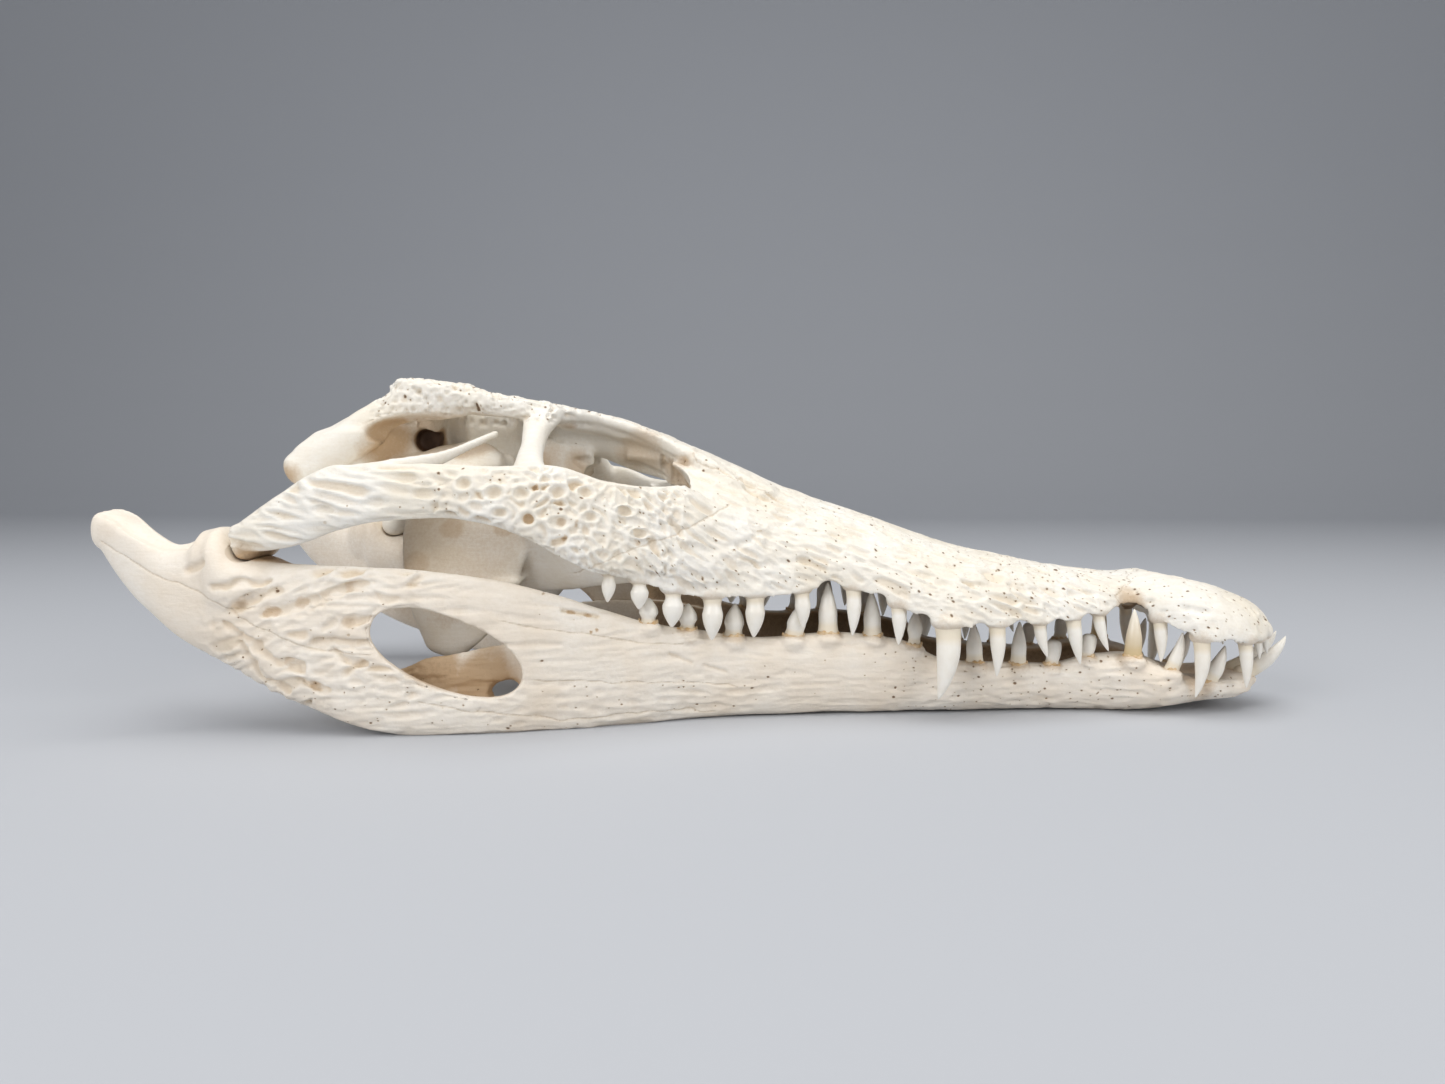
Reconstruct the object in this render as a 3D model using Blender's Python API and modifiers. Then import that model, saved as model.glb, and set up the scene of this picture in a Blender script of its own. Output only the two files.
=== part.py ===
"""A crocodile skull, life size, lying on its lower jaw with the teeth closed.

Blender script. Metres, +Z up, snout towards +X, the animal's left at +Y. It makes three objects: the
cranium with its upper teeth, and the two halves of the lower jaw, each with its lower teeth.
Every bone is a swept or lofted form worked out from a few stations, in millimetres.
"""

import math

import bmesh
import bpy
import numpy as np

MM = 0.001

# Driving dimensions, in millimetres. X is counted from the middle of the skull, Z from the floor.
SNOUT_TIP_X = 193.4
NOSE_START_X = 162.0
NOSE_HALF_WIDTH = 26.5
CONDYLE_X = -147.0
CONDYLE_Y = 63.5
CONDYLE_Z = 60.5
CONDYLE_RADIUS = 5.2
SEAM_GAP = 0.3
FLOOR_FLAT = 0.35

# Mesh fineness.
VOXEL = 1.15
SMOOTH_ROUNDS = 6
CRANIUM_TRIANGLES = 7900
RAMUS_TRIANGLES = 2100
TOOTH_SIDES = 6

BONE_COLOUR = (0.80, 0.74, 0.62, 1.0)


def clear_scene():
    for old in list(bpy.data.objects):
        bpy.data.objects.remove(old)


def smooth(at, xs, rows):
    """Values at `at` on the smooth curve through the rows. It never swings past them between stations."""
    xs = np.asarray(xs, float)
    rows = np.asarray(rows, float).reshape(len(xs), -1)
    order = np.argsort(xs)
    xs, rows = xs[order], rows[order]
    step = np.diff(xs)[:, None]
    rise = np.diff(rows, axis=0) / step
    slope = np.vstack([rise[:1], np.zeros((len(xs) - 2, rows.shape[1])), rise[-1:]])
    both = rise[:-1] * rise[1:]
    total = np.where(both > 0, rise[:-1] + rise[1:], 1.0)
    slope[1:-1] = np.where(both > 0, 2 * both / total, 0.0)
    at = np.clip(np.atleast_1d(np.asarray(at, float)), xs[0], xs[-1])
    i = np.clip(np.searchsorted(xs, at) - 1, 0, len(xs) - 2)
    w = step[i]
    t = ((at - xs[i])[:, None]) / w
    return (
        rows[i] * (1 + 2 * t) * (1 - t) ** 2
        + rows[i + 1] * t * t * (3 - 2 * t)
        + slope[i] * w * t * (1 - t) ** 2
        - slope[i + 1] * w * t * t * (1 - t)
    )


def value(at, table):
    """One number for each x in `at`, from a table of (x, value) pairs."""
    xs, ys = zip(*table)
    return smooth(at, xs, ys)[:, 0]


def tube(name, rings):
    """A closed mesh object through rings of points (count, points, 3) in millimetres, its ends capped."""
    rings = np.asarray(rings, float)
    count, points, _ = rings.shape
    faces = []
    for i in range(count - 1):
        for j in range(points):
            k = (j + 1) % points
            faces.append((i * points + j, i * points + k, (i + 1) * points + k, (i + 1) * points + j))
    faces.append(tuple(reversed(range(points))))
    faces.append(tuple(range((count - 1) * points, count * points)))
    mesh = bpy.data.meshes.new(name)
    mesh.from_pydata((rings.reshape(-1, 3) * MM).tolist(), [], faces)
    bm = bmesh.new()
    bm.from_mesh(mesh)
    bmesh.ops.recalc_face_normals(bm, faces=bm.faces)
    bm.to_mesh(mesh)
    bm.free()
    made = bpy.data.objects.new(name, mesh)
    bpy.context.scene.collection.objects.link(made)
    return made


def unit(vectors):
    return vectors / np.linalg.norm(vectors, axis=-1, keepdims=True)


def superellipse(points, power):
    """Points round a unit superellipse: power 1 is a circle, and a smaller power is squarer."""
    angle = 2 * math.pi * np.arange(points) / points
    c, s = np.cos(angle), np.sin(angle)
    return np.sign(c) * np.abs(c) ** power, np.sign(s) * np.abs(s) ** power


def sweep(name, stations, side, rings=24, points=16, power=0.9, rounded=True):
    """A bar or plate along stations (x, y, z, half width along side, half thickness), its ends rounded."""
    rows = np.asarray(stations, float)
    sides = np.broadcast_to(np.asarray(side, float), (len(rows), 3))
    along = np.concatenate([[0], np.cumsum(np.linalg.norm(np.diff(rows[:, :3], axis=0), axis=1))])
    at = np.linspace(0, along[-1], rings)
    fine = smooth(at, along, np.hstack([rows, sides]))
    centre, half_side, half_thick, refs = fine[:, :3], fine[:, 3], fine[:, 4], fine[:, 5:8]
    tangent = unit(np.gradient(centre, at, axis=0))
    if rounded:
        turn = np.radians([75, 50, 25])
        for first in (True, False):
            i, sign = (0, -1) if first else (-1, 1)
            reach = min(half_side[i], half_thick[i])
            extra = centre[i] + sign * tangent[i] * reach * np.sin(turn)[:, None]
            shrink = np.cos(turn)
            parts = [extra, half_side[i] * shrink, half_thick[i] * shrink,
                     np.repeat(refs[i][None], 3, 0), np.repeat(tangent[i][None], 3, 0)]
            if not first:
                parts = [p[::-1] for p in parts]
            olds = [centre, half_side, half_thick, refs, tangent]
            joined = [np.concatenate([p, o] if first else [o, p]) for p, o in zip(parts, olds)]
            centre, half_side, half_thick, refs, tangent = joined
    across = unit(refs - (refs * tangent).sum(1, keepdims=True) * tangent)
    normal = np.cross(tangent, across)
    c, s = superellipse(points, power)
    ring = (
        centre[:, None]
        + across[:, None] * (half_side[:, None] * c)[..., None]
        + normal[:, None] * (half_thick[:, None] * s)[..., None]
    )
    return tube(name, ring)


def upright(name, table, rings, power, points=20):
    """A bar of upright slices. Each row: x, inner y, outer y, bottom, top, lean of the top per height."""
    rows = np.asarray(table, float)
    at = np.linspace(rows[0, 0], rows[-1, 0], rings)
    inner, outer, low, high, lean = smooth(at, rows[:, 0], rows[:, 1:]).T
    ends = np.cos(np.radians([72, 45, 20]))
    reach = np.sin(np.radians([72, 45, 20]))
    sign = 1 if rows[0, 0] > rows[-1, 0] else -1
    half, tall = (outer - inner) / 2, (high - low) / 2
    first, last = min(half[0], tall[0]), min(half[-1], tall[-1])
    x = np.concatenate([at[0] + sign * first * reach, at, (at[-1] - sign * last * reach)[::-1]])
    scale = np.concatenate([ends, np.ones(rings), ends[::-1]])
    pad = lambda v: np.concatenate([np.full(3, v[0]), v, np.full(3, v[-1])])
    middle_y, middle_z = pad((inner + outer) / 2), pad((low + high) / 2)
    half, tall, lean = pad(half) * scale, pad(tall) * scale, pad(lean)
    c, s = superellipse(points, power)
    up = tall[:, None] * s
    across = middle_y[:, None] + half[:, None] * c + lean[:, None] * up
    ring = np.stack([np.repeat(x[:, None], points, 1), across, middle_z[:, None] + up], axis=2)
    return tube(name, ring)


def outer_face(table, x, z, power):
    """Outer y of a bar of upright slices at x and height z, from the equation of its superellipse."""
    rows = np.asarray(table, float)
    inner, outer, low, high, lean = smooth(x, rows[:, 0], rows[:, 1:])[0]
    up = z - (low + high) / 2
    share = min(abs(up) / ((high - low) / 2), 1)
    bulge = (1 - share ** (2 / power)) ** (power / 2)
    return (inner + outer) / 2 + (outer - inner) / 2 * bulge + lean * up


def groove(name, points, face, height, depth):
    """A slim cutter, half sunk along a face whose outer y is face(x, z), through (x, z) points."""
    stations = [(x, face(x, z), z, height, depth) for x, z in points]
    return sweep(name, stations, (0, 0, 1), rings=8, points=8)


def ball(name, centre, radii, points=16, rings=12, power=1.0):
    """An ellipsoid with its long axis along X, as stacked rings."""
    x, y, z = centre
    turn = np.linspace(-88, 88, rings)
    rows = [
        (x + radii[0] * math.sin(math.radians(a)), y, z, radii[2] * math.cos(math.radians(a)),
         radii[1] * math.cos(math.radians(a)))
        for a in turn
    ]
    return sweep(name, rows, (0, 0, 1), rings, points, power, rounded=False)


def mirror_copy(made):
    """The same form on the animal's right."""
    mesh = made.data.copy()
    bm = bmesh.new()
    bm.from_mesh(mesh)
    for vertex in bm.verts:
        vertex.co.y = -vertex.co.y
    bmesh.ops.reverse_faces(bm, faces=bm.faces)
    bm.to_mesh(mesh)
    bm.free()
    copy = bpy.data.objects.new(made.name + "_right", mesh)
    bpy.context.scene.collection.objects.link(copy)
    return copy


def pair(made):
    return [made, mirror_copy(made)]


def grouped(name, objects):
    """A collection that holds these objects, for one Boolean."""
    group = bpy.data.collections.new(name)
    bpy.context.scene.collection.children.link(group)
    for member in objects:
        for old in list(member.users_collection):
            old.objects.unlink(member)
        group.objects.link(member)
    return group


def baked(made):
    """Applies the object's modifiers."""
    graph = bpy.context.evaluated_depsgraph_get()
    graph.update()
    mesh = bpy.data.meshes.new_from_object(made.evaluated_get(graph))
    made.modifiers.clear()
    made.data = mesh


def remove_group(group):
    for member in list(group.objects):
        bpy.data.objects.remove(member)
    bpy.data.collections.remove(group)


def combine(base, others, operation):
    """Joins a list of closed meshes to base, or cuts them from it, with one Boolean."""
    if not others:
        return
    group = grouped(base.name + "_" + operation.lower(), others)
    tool = base.modifiers.new(operation, "BOOLEAN")
    tool.operation = operation
    tool.operand_type = "COLLECTION"
    tool.collection = group
    tool.solver = "MANIFOLD"
    baked(base)
    remove_group(group)


def keep_largest(made):
    """Drops every loose surface but the largest."""
    bm = bmesh.new()
    bm.from_mesh(made.data)
    left = set(bm.verts)
    islands = []
    while left:
        stack = [left.pop()]
        island = set(stack)
        while stack:
            for edge in stack.pop().link_edges:
                for vertex in edge.verts:
                    if vertex in left:
                        left.discard(vertex)
                        island.add(vertex)
                        stack.append(vertex)
        islands.append(island)
    islands.sort(key=len, reverse=True)
    for island in islands[1:]:
        bmesh.ops.delete(bm, geom=list(island), context="VERTS")
    bm.to_mesh(made.data)
    bm.free()


def as_bone(made, triangles):
    """Blends the joined forms into one bone surface, and thins it to about that many triangles."""
    remesh = made.modifiers.new("Blend", "REMESH")
    remesh.mode = "VOXEL"
    remesh.voxel_size = VOXEL * MM
    soften = made.modifiers.new("Soften", "SMOOTH")
    soften.factor = 0.5
    soften.iterations = SMOOTH_ROUNDS
    baked(made)
    keep_largest(made)
    made.data.calc_loop_triangles()
    thin = made.modifiers.new("Thin", "DECIMATE")
    thin.ratio = triangles / len(made.data.loop_triangles)
    baked(made)


# The snout. Each table gives a value at an x, and the front is an ellipse in plan.
SNOUT_WIDTHS = [
    (-36, 61), (-20, 54.5), (0, 47), (30, 39.5), (46, 37.5), (78, 40.5), (110, 31.5), (131, 24.5),
    (142, 17.5), (150, 22.5), (NOSE_START_X, NOSE_HALF_WIDTH),
]
MARGIN_HEIGHTS = [
    (-36, 51.5), (-30, 50), (0, 42), (20, 42), (40, 45), (60, 39), (78, 32), (112, 32.5), (131, 35),
    (142, 38), (152, 31.5), (166, 26), (184, 25.5), (194, 27.5),
]
CREST_HEIGHTS = [
    (-36, 94), (-12, 88.2), (0, 86.2), (25, 76.6), (53, 67.2), (81, 57.6), (109, 51.7), (128, 48.6),
    (139, 47.6), (150, 48.6), (166, 46.2), (178, 41.8), (186, 38.4), (190.5, 34.5), (194, 30),
]
PALATE_RISE = 4.5
DOME_POWER = 0.88
# The main furrows of the flank, each from (x, z) to (x, z).
FLANK_GROOVES = [
    (-29, 69, -22, 66.5), (-19, 66, -9, 64), (-24, 61.6, -16, 59.8), (-9, 59.5, 1, 57.5),
    (4, 59, 12, 60.5), (13, 63.4, 21, 62), (20, 66.4, 29, 64.6), (-1, 69.5, 8, 67.5), (9, 52.5, 18, 53),
    (-8, 50.5, 0, 48.6), (22, 53.4, 31, 54.4), (34, 56.5, 42, 55), (49, 54, 57, 51.6), (42, 63.4, 51, 61.6),
    (29, 71.5, 38, 69.4), (57, 57.4, 66, 55.6), (69, 49, 77, 46.6), (82, 47.4, 92, 45.4),
    (99, 45, 109, 43.4), (120, 43, 129, 42), (157, 38, 165, 36), (8, 77, 17, 74.2),
]
GROOVE_HEIGHT = 1.2
GROOVE_DEPTH = 0.9
# Where the lower teeth fit between the sockets of the upper ones: x, and the hollow's radius.
MARGIN_HOLLOWS = [
    (172, 2.4), (158.5, 2.0), (125.3, 2.4), (114.5, 2.5), (101.5, 3.0), (87.5, 2.8), (68.5, 2.8), (54, 3.0),
    (38, 3.6),
]


def snout_width(x):
    x = np.atleast_1d(np.asarray(x, float))
    forward = np.clip((x - NOSE_START_X) / (SNOUT_TIP_X - NOSE_START_X), 0, 1)
    return value(x, SNOUT_WIDTHS) * (1 - forward**2.3) ** 0.5


def snout():
    """Superellipse domes over a shallow vault, the tooth margin at their foot."""
    front = SNOUT_TIP_X - 47 * (1 - np.linspace(0, 1, 18)[1:]) ** 1.6
    x = np.concatenate([np.linspace(-35, 150, 48), front])
    x[-1] = SNOUT_TIP_X - 0.05
    half = snout_width(x)
    margin = value(x, MARGIN_HEIGHTS)
    crest = value(x, CREST_HEIGHTS)
    dome = np.radians(np.linspace(0, 180, 25))
    vault = np.radians(np.linspace(180, 360, 19)[1:-1])
    y_dome = np.sign(np.cos(dome)) * np.abs(np.cos(dome)) ** DOME_POWER
    z_dome = np.sin(dome) ** DOME_POWER
    y_vault = np.cos(vault)
    z_vault = 1 - y_vault**6
    rings = np.zeros((len(x), len(dome) + len(vault), 3))
    rings[..., 0] = x[:, None]
    rings[..., 1] = half[:, None] * np.concatenate([y_dome, y_vault])
    rise = np.minimum(PALATE_RISE, half * 0.2)
    rings[:, : len(dome), 2] = margin[:, None] + (crest - margin)[:, None] * z_dome
    rings[:, len(dome):, 2] = margin[:, None] + rise[:, None] * z_vault
    return tube("snout", rings)


def flank_face(x, z):
    """Outer y of the snout at x and height z."""
    low = float(value(x, MARGIN_HEIGHTS)[0])
    high = float(value(x, CREST_HEIGHTS)[0])
    share = min(max((z - low) / (high - low), 0), 1)
    return float(snout_width(x)[0]) * (1 - share ** (2 / DOME_POWER)) ** (DOME_POWER / 2)


def margin_ball(name, x, inset, drop, radii):
    """A ball at the left tooth margin at x, moved in by inset and down by drop."""
    y = float(snout_width(x)[0]) - inset
    z = float(value(x, MARGIN_HEIGHTS)[0]) - drop
    return ball(name, (x, y, z), radii, 10, 8)


def upper_sockets():
    """The swollen ring of bone round the root of each upper tooth."""
    return [
        margin_ball("upper_socket", x, 3.6, -2.0, (half + 1.5, half + 1.1, 3.4))
        for x, _, _, half, _ in UPPER_TEETH
    ]


def margin_hollows():
    return [
        margin_ball("margin_hollow", x, 1.4, 0.4, (size, size + 1.0, size * 0.8))
        for x, size in MARGIN_HOLLOWS
    ]


def skull_roof():
    """The frontal between the orbits and the flat table behind them."""
    frontal = sweep("frontal", [
        (16, 0, 73.5, 24, 6), (-6, 0, 84.6, 20, 5.2), (-20, 0, 91.4, 14.5, 4.4), (-32, 0, 96.4, 12.5, 4),
        (-44, 0, 100.2, 15, 4), (-56, 0, 102.2, 26, 4),
    ], (0, 1, 0), power=0.6)
    crest = sweep("frontal_keel", [
        (-2, 0, 79.5, 8, 6), (-16, 0, 84.8, 7.5, 6.4), (-32, 0, 90, 7.5, 6.6), (-46, 0, 95, 8, 6.4),
        (-60, 0, 96, 11, 8.5),
    ], (0, 1, 0))
    rims = sweep("orbit_rim", [
        (6, 23, 78, 5, 3.4), (-3, 20, 84.2, 4.4, 3.6), (-14, 16.6, 90.4, 3, 2.6), (-28, 12.8, 97, 2.4, 2.1),
        (-42, 13.8, 101.6, 2.4, 2.1), (-55, 26, 103.8, 3.5, 2.6),
    ], (0, 1, 0), points=12)
    table = sweep("skull_table", [
        (-54, 0, 103.2, 31.5, 3.4), (-70, 0, 105.5, 34.5, 3.8), (-88, 0, 107.6, 37, 4.2),
        (-103, 0, 111.2, 38.5, 4.5),
    ], (0, 1, 0), power=0.45, points=28)
    rims_rear = sweep("table_edge", [
        (-58, 30.5, 103.6, 3.4, 3.6), (-75, 34, 106.2, 3.6, 4), (-92, 36.5, 109.4, 4, 4.6),
        (-107, 37.5, 111.0, 4, 4.4),
    ], (0, 1, 0), points=12)
    return [frontal, crest, table] + pair(rims) + pair(rims_rear)


def braincase():
    walls = sweep("braincase", [
        (-84, 0, 104, 24, 19), (-84, 0, 94, 21, 14.5), (-85, 0, 82, 19, 12), (-85, 0, 68, 16, 10.5),
        (-82, 0, 54, 16, 11),
    ], (1, 0, 0), power=0.8, rounded=False)
    side_wall = sweep("laterosphenoid", [
        (-66, 13, 86, 10, 3), (-57, 10, 86.5, 8, 2.6), (-49, 7.5, 88, 5, 2.4),
    ], (0, 0, 1), power=0.8)
    plate = sweep("occipital_plate", [
        (-98, 0, 111, 37, 3.5), (-101, 0, 104, 35, 3.8), (-104, 0, 96, 26, 4), (-105, 0, 88, 17, 4),
    ], (0, 1, 0), power=0.6)
    occiput = sweep("exoccipital", [
        (-100, 0, 95, 13, 5), (-105, 14, 95.5, 13.5, 4.5), (-115, 28, 95, 13, 4.5),
        (-127, 39.5, 91, 10, 4.6), (-136, 45.5, 86, 7, 4.6),
    ], (0, 0, 1))
    condyle = ball("occipital_condyle", (-108, 0, 82), (7, 7, 5.5))
    tuber = sweep("basal_tuber", [
        (-100, 4, 84, 7, 6), (-100, 5, 68, 7, 5), (-97, 6, 60, 5, 4.5),
    ], (0, 1, 0))
    return [walls, plate, condyle] + pair(side_wall) + pair(occiput) + pair(tuber)


def squamosal_horn():
    return sweep("squamosal_horn", [
        (-86, 32, 108, 6, 5.5), (-103, 36, 106.5, 6, 7.2), (-116, 39.5, 99.5, 6, 7.4),
        (-128, 43.5, 91, 5.6, 7.2), (-138.4, 47, 84, 4.6, 6),
    ], (0, 1, 0))


def quadrate():
    body = sweep("quadrate", [
        (-82, 24, 88, 15, 5), (-98, 34, 84, 17, 5), (-116, 46, 76, 18, 5), (-133, 56, 68.5, 15, 5),
        (-142, 60, 66, 12, 4.6),
    ], [(0.2, 0.95, -0.3)] * 5, power=0.8)
    wall = sweep("pterygoid_wall", [
        (-90, 27, 86, 20, 3), (-88, 24, 70, 19, 2.6), (-84, 20, 54, 20, 3),
    ], (1, 0, 0), power=0.7)
    return [body, wall]


# Jugal and quadratojugal, front to back: x, inner y, outer y, bottom, top, lean of the top per height.
CHEEK_ARCH = [
    (14, 31, 40.5, 50, 68, -0.35), (0, 37, 46.2, 46, 73, -0.34), (-10, 41, 50.3, 47.5, 79, -0.3),
    (-22, 46.5, 55.6, 50, 79, -0.26), (-34, 52.3, 61.5, 51, 80.6, -0.24),
    (-46, 57, 66.2, 56.6, 84.6, -0.22), (-57, 60.8, 69.6, 63, 86, -0.2),
    (-69, 63.8, 72.4, 67.4, 85.4, -0.18), (-82, 66.2, 74.4, 69.2, 86, -0.16),
    (-100, 67.6, 75.4, 68.2, 86.2, -0.14), (-114, 67.4, 75.4, 65.4, 86, -0.12),
    (-124, 66.6, 75, 61.8, 83, -0.1), (-133, 65.5, 74.2, 59.4, 77.8, -0.08),
    (-142, 64, 73, 58.4, 72, -0.05), (-148.6, 62.5, 71.5, 59.8, 67.2, 0),
]
ARCH_POWER = 0.85
# The largest cells of the honeycomb on the cheek: x, z, half length, half height.
CHEEK_PITS = [
    (-46, 68, 3.6, 2.0), (-55, 69, 2.2, 1.9), (-65, 77, 2.9, 2.0), (-57, 77, 2.5, 2.2), (-47, 77.4, 2.4, 2.0),
    (-39, 77, 2.5, 1.8), (-74, 80, 2.5, 2.1), (-37, 69.6, 2.4, 1.6), (-63.5, 71, 2.7, 1.5),
    (-27, 71, 3.2, 1.5), (-22, 64, 3.4, 1.4), (-86, 77, 4.2, 1.6), (-101, 74, 5.0, 1.5), (-92, 82, 4.0, 1.5),
    (-118, 72, 5.0, 1.5),
]
CHEEK_PIT_DEPTH = 1.3


def cheek_pits():
    made = []
    for x, z, long, tall in CHEEK_PITS:
        y = outer_face(CHEEK_ARCH, x, z, ARCH_POWER)
        made.append(ball("cheek_pit", (x, y, z), (long, CHEEK_PIT_DEPTH, tall), 10, 8))
    return made


def cheek_or_flank(x, z):
    """Outer y where the cheek arch runs into the snout: that of the form that stands further out."""
    arch = outer_face(CHEEK_ARCH, x, z, ARCH_POWER) if x < 12 else 0.0
    return max(flank_face(x, z), arch)


def flank_grooves():
    return [
        groove("flank_groove", [(x0, z0), (x1, z1)], cheek_or_flank, GROOVE_HEIGHT, GROOVE_DEPTH)
        for x0, z0, x1, z1 in FLANK_GROOVES
    ]


def cheek_arch():
    """The bar below the orbit, back to the jaw joint, with the post behind the orbit."""
    bar = upright("cheek_arch", CHEEK_ARCH, 44, ARCH_POWER)
    post = sweep("postorbital_bar", [
        (-60, 30, 103, 7, 5), (-60.5, 36, 98, 4.8, 4), (-59.5, 46, 91.5, 3.9, 3.6),
        (-58, 56, 86.4, 4.6, 3.8), (-57, 61.5, 81, 7, 3.6),
    ], (1, 0, 0), points=12)
    strut = sweep("quadratojugal_strut", [
        (-108, 69, 81.5, 5, 2.4), (-95, 64.5, 85.4, 4.4, 2.0), (-85.5, 58, 89, 3.2, 1.7),
        (-79, 48, 92.8, 2.1, 1.5), (-74.4, 37, 96, 1.5, 1.4),
    ], (0, 0, 1), points=10, power=0.8)
    return [bar, post, strut]


def palate():
    tube_bar = sweep("palatines", [
        (24, 0, 50.5, 20, 6), (0, 0, 50, 13.5, 7), (-30, 0, 50, 11, 6.5), (-62, 0, 51.5, 13, 6),
    ], (0, 1, 0), power=0.7)
    plate = sweep("pterygoid_plate", [
        (-54, 0, 51.5, 15, 4.5), (-78, 0, 52, 20, 4), (-98, 0, 52, 16, 4.5),
    ], (0, 1, 0), power=0.7)
    wing = sweep("pterygoid_wing", [
        (-79, 8, 52.5, 17, 3.4), (-80, 24, 50, 18, 2.6), (-82, 38, 46, 20, 2.6), (-83, 46, 44, 20, 3),
    ], (1, 0, 0.2), power=0.8, rings=16, points=20)
    flange = sweep("pterygoid_flange", [
        (-86, 34, 79, 20, 2.6), (-83.5, 42.5, 62, 22, 2.4), (-84.5, 47, 47, 19.5, 2.6),
        (-87, 48, 34, 14, 3), (-89, 48, 25, 7.5, 3),
    ], (1, 0, 0), power=0.8, rings=20, points=20)
    ecto = sweep("ectopterygoid", [
        (-18, 48.5, 52.5, 5, 3.8), (-30, 48.5, 54, 7.5, 3.4), (-43, 45.5, 55, 10.5, 3),
        (-55, 41.5, 55, 12, 2.8), (-68, 39.5, 52, 12, 3),
    ], (0, 0.25, 1), points=14)
    pillar = sweep("prefrontal_pillar", [
        (-3, 14, 83, 6, 3.6), (-4, 13, 70, 5, 3), (-3, 11, 54, 7, 4),
    ], (1, 0, 0), points=12)
    return [tube_bar, plate] + pair(wing) + pair(flange) + pair(ecto) + pair(pillar)


def skull_openings():
    """The cutters: nostril, orbits, openings of the table, foramen magnum and the rear nostrils."""
    naris = ball("naris_cut", (162.5, 0, 49), (12.5, 10.5, 12.5))
    passage = sweep("naris_passage_cut", [
        (160, 0, 42, 6, 6), (138, 0, 42, 4.6, 5),
    ], (0, 0, 1), points=12, rounded=False)
    orbit = ball("orbit_cut", (-31.5, 34.5, 92), (23.8, 21, 13.5), power=0.9)
    well = ball("orbit_well_cut", (-32, 30, 73), (24, 20, 21))
    corner = sweep("orbit_corner_cut", [
        (-44, 14, 84, 7.5, 7.5), (-30, 15, 82.5, 7, 7.5), (-20, 16.5, 79.5, 6.5, 7),
        (-12, 17.5, 74.5, 6, 6),
    ], (0, 1, 0), points=12)
    between = sweep("between_orbits_cut", [
        (-46, 0, 73, 13, 15), (-36, 0, 70.8, 20, 13.4), (-26, 0, 69, 24, 12.6), (-18, 0, 66.5, 22, 11.5),
        (-9, 0, 63, 14, 7),
    ], (0, 1, 0))
    temple = sweep("table_cut", [
        (-82, 16.5, 125, 8.6, 5.8), (-82, 16.5, 88, 8.6, 5.8),
    ], (1, 0, 0), points=16, rounded=False)
    magnum = sweep("foramen_magnum_cut", [
        (-125, 0, 92.5, 4.8, 5.2), (-92, 0, 92, 4.2, 4.6),
    ], (0, 0, 1), points=14, rounded=False)
    choana = ball("choana_cut", (-92, 0, 46.5), (8, 6.5, 6.5))
    ear = ball("ear_cut", (-97.5, 46.5, 96.2), (19, 19.5, 7))
    ear_passage = sweep("ear_passage_cut", [
        (-102, 10, 94, 3.4, 3.4), (-102, 34, 94, 3.4, 3.4),
    ], (0, 0, 1), points=12, power=1.0, rounded=False)
    suborbital = sweep("suborbital_cut", [
        (-18, 28, 36, 27, 9.5), (-18, 28, 62, 27, 9.5),
    ], (1, -0.45, 0), points=18, power=0.9, rounded=False)
    made = [naris, passage, magnum, choana, between]
    sided = [orbit, well, corner, temple, ear, ear_passage, suborbital]
    for form in sided + margin_hollows() + cheek_pits() + flank_grooves():
        made += pair(form)
    return made


def tooth(name, base, tip, width, depth, bulge, root):
    """A curved cone from its socket to its tip, six sided, sunk into the bone by `root`."""
    base, tip = np.asarray(base, float), np.asarray(tip, float)
    axis = tip - base
    length = np.linalg.norm(axis)
    way = axis / length
    rows = [(-root / length, 0.72), (0.0, 0.86), (0.33, bulge), (0.72, 0.55 * bulge), (0.985, 0.1)]
    stations = []
    for at, share in rows:
        centre = base + axis * at
        stations.append((*centre, width * share, depth * share))
    side = (1, 0, 0) if abs(way[0]) < 0.9 else (0, 0, 1)
    return sweep(name, stations, side, rings=6, points=TOOTH_SIDES, power=1.0, rounded=False)


# Upper teeth, front to back: x, lean of the tip in x, exposed length, half width, swelling of the crown.
UPPER_TEETH = [
    (189, 1, 6, 1.3, 1.0), (184.8, 0.8, 6.5, 1.5, 1.0), (179, 0.5, 15, 2.4, 1.0), (163.4, -2, 19, 2.8, 1.0),
    (150.8, 0.4, 14, 2.4, 1.0), (129.6, 3.5, 12, 2.1, 1.0), (120.5, 2.4, 14.8, 2.6, 1.0),
    (108.5, 2.8, 11.5, 2.2, 1.0), (93.5, 0, 16, 2.8, 1.0), (77, -3, 23.5, 4.3, 1.0), (61, 0, 13, 2.7, 1.0),
    (46, -0.2, 15, 2.7, 1.05), (28.6, 0.8, 11.8, 2.8, 1.1), (13.4, -0.4, 13.8, 3.4, 1.12),
    (-0.6, 0, 13.5, 3.5, 1.15), (-13, -0.3, 11.5, 3.3, 1.3), (-23.4, 0, 9, 2.8, 1.35),
    (-32.5, -0.5, 8.5, 2.2, 1.2),
]
TOOTH_INSET = 3.8
UPPER_ROOT = 6.0


def upper_teeth():
    """One tooth at each place along the margin, a little different on the two sides."""
    made = []
    for n, (x, lean, length, half, bulge) in enumerate(UPPER_TEETH):
        for side in (1, -1):
            long = length * (1 + 0.03 * side * math.sin(2.1 * n))
            y = float(snout_width(x)[0]) - TOOTH_INSET
            z = float(value(x, MARGIN_HEIGHTS)[0]) + 1.5
            out = 0.12 * long
            root = min(UPPER_ROOT, (SNOUT_TIP_X + 6 - x) / 3)
            base = (x, side * y, z)
            tip = (x + lean, side * (y + out), z - long - 1.5)
            made.append(tooth(f"upper_tooth_{n}_{side}", base, tip, half, half * 0.9, bulge, root))
    return made


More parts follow.
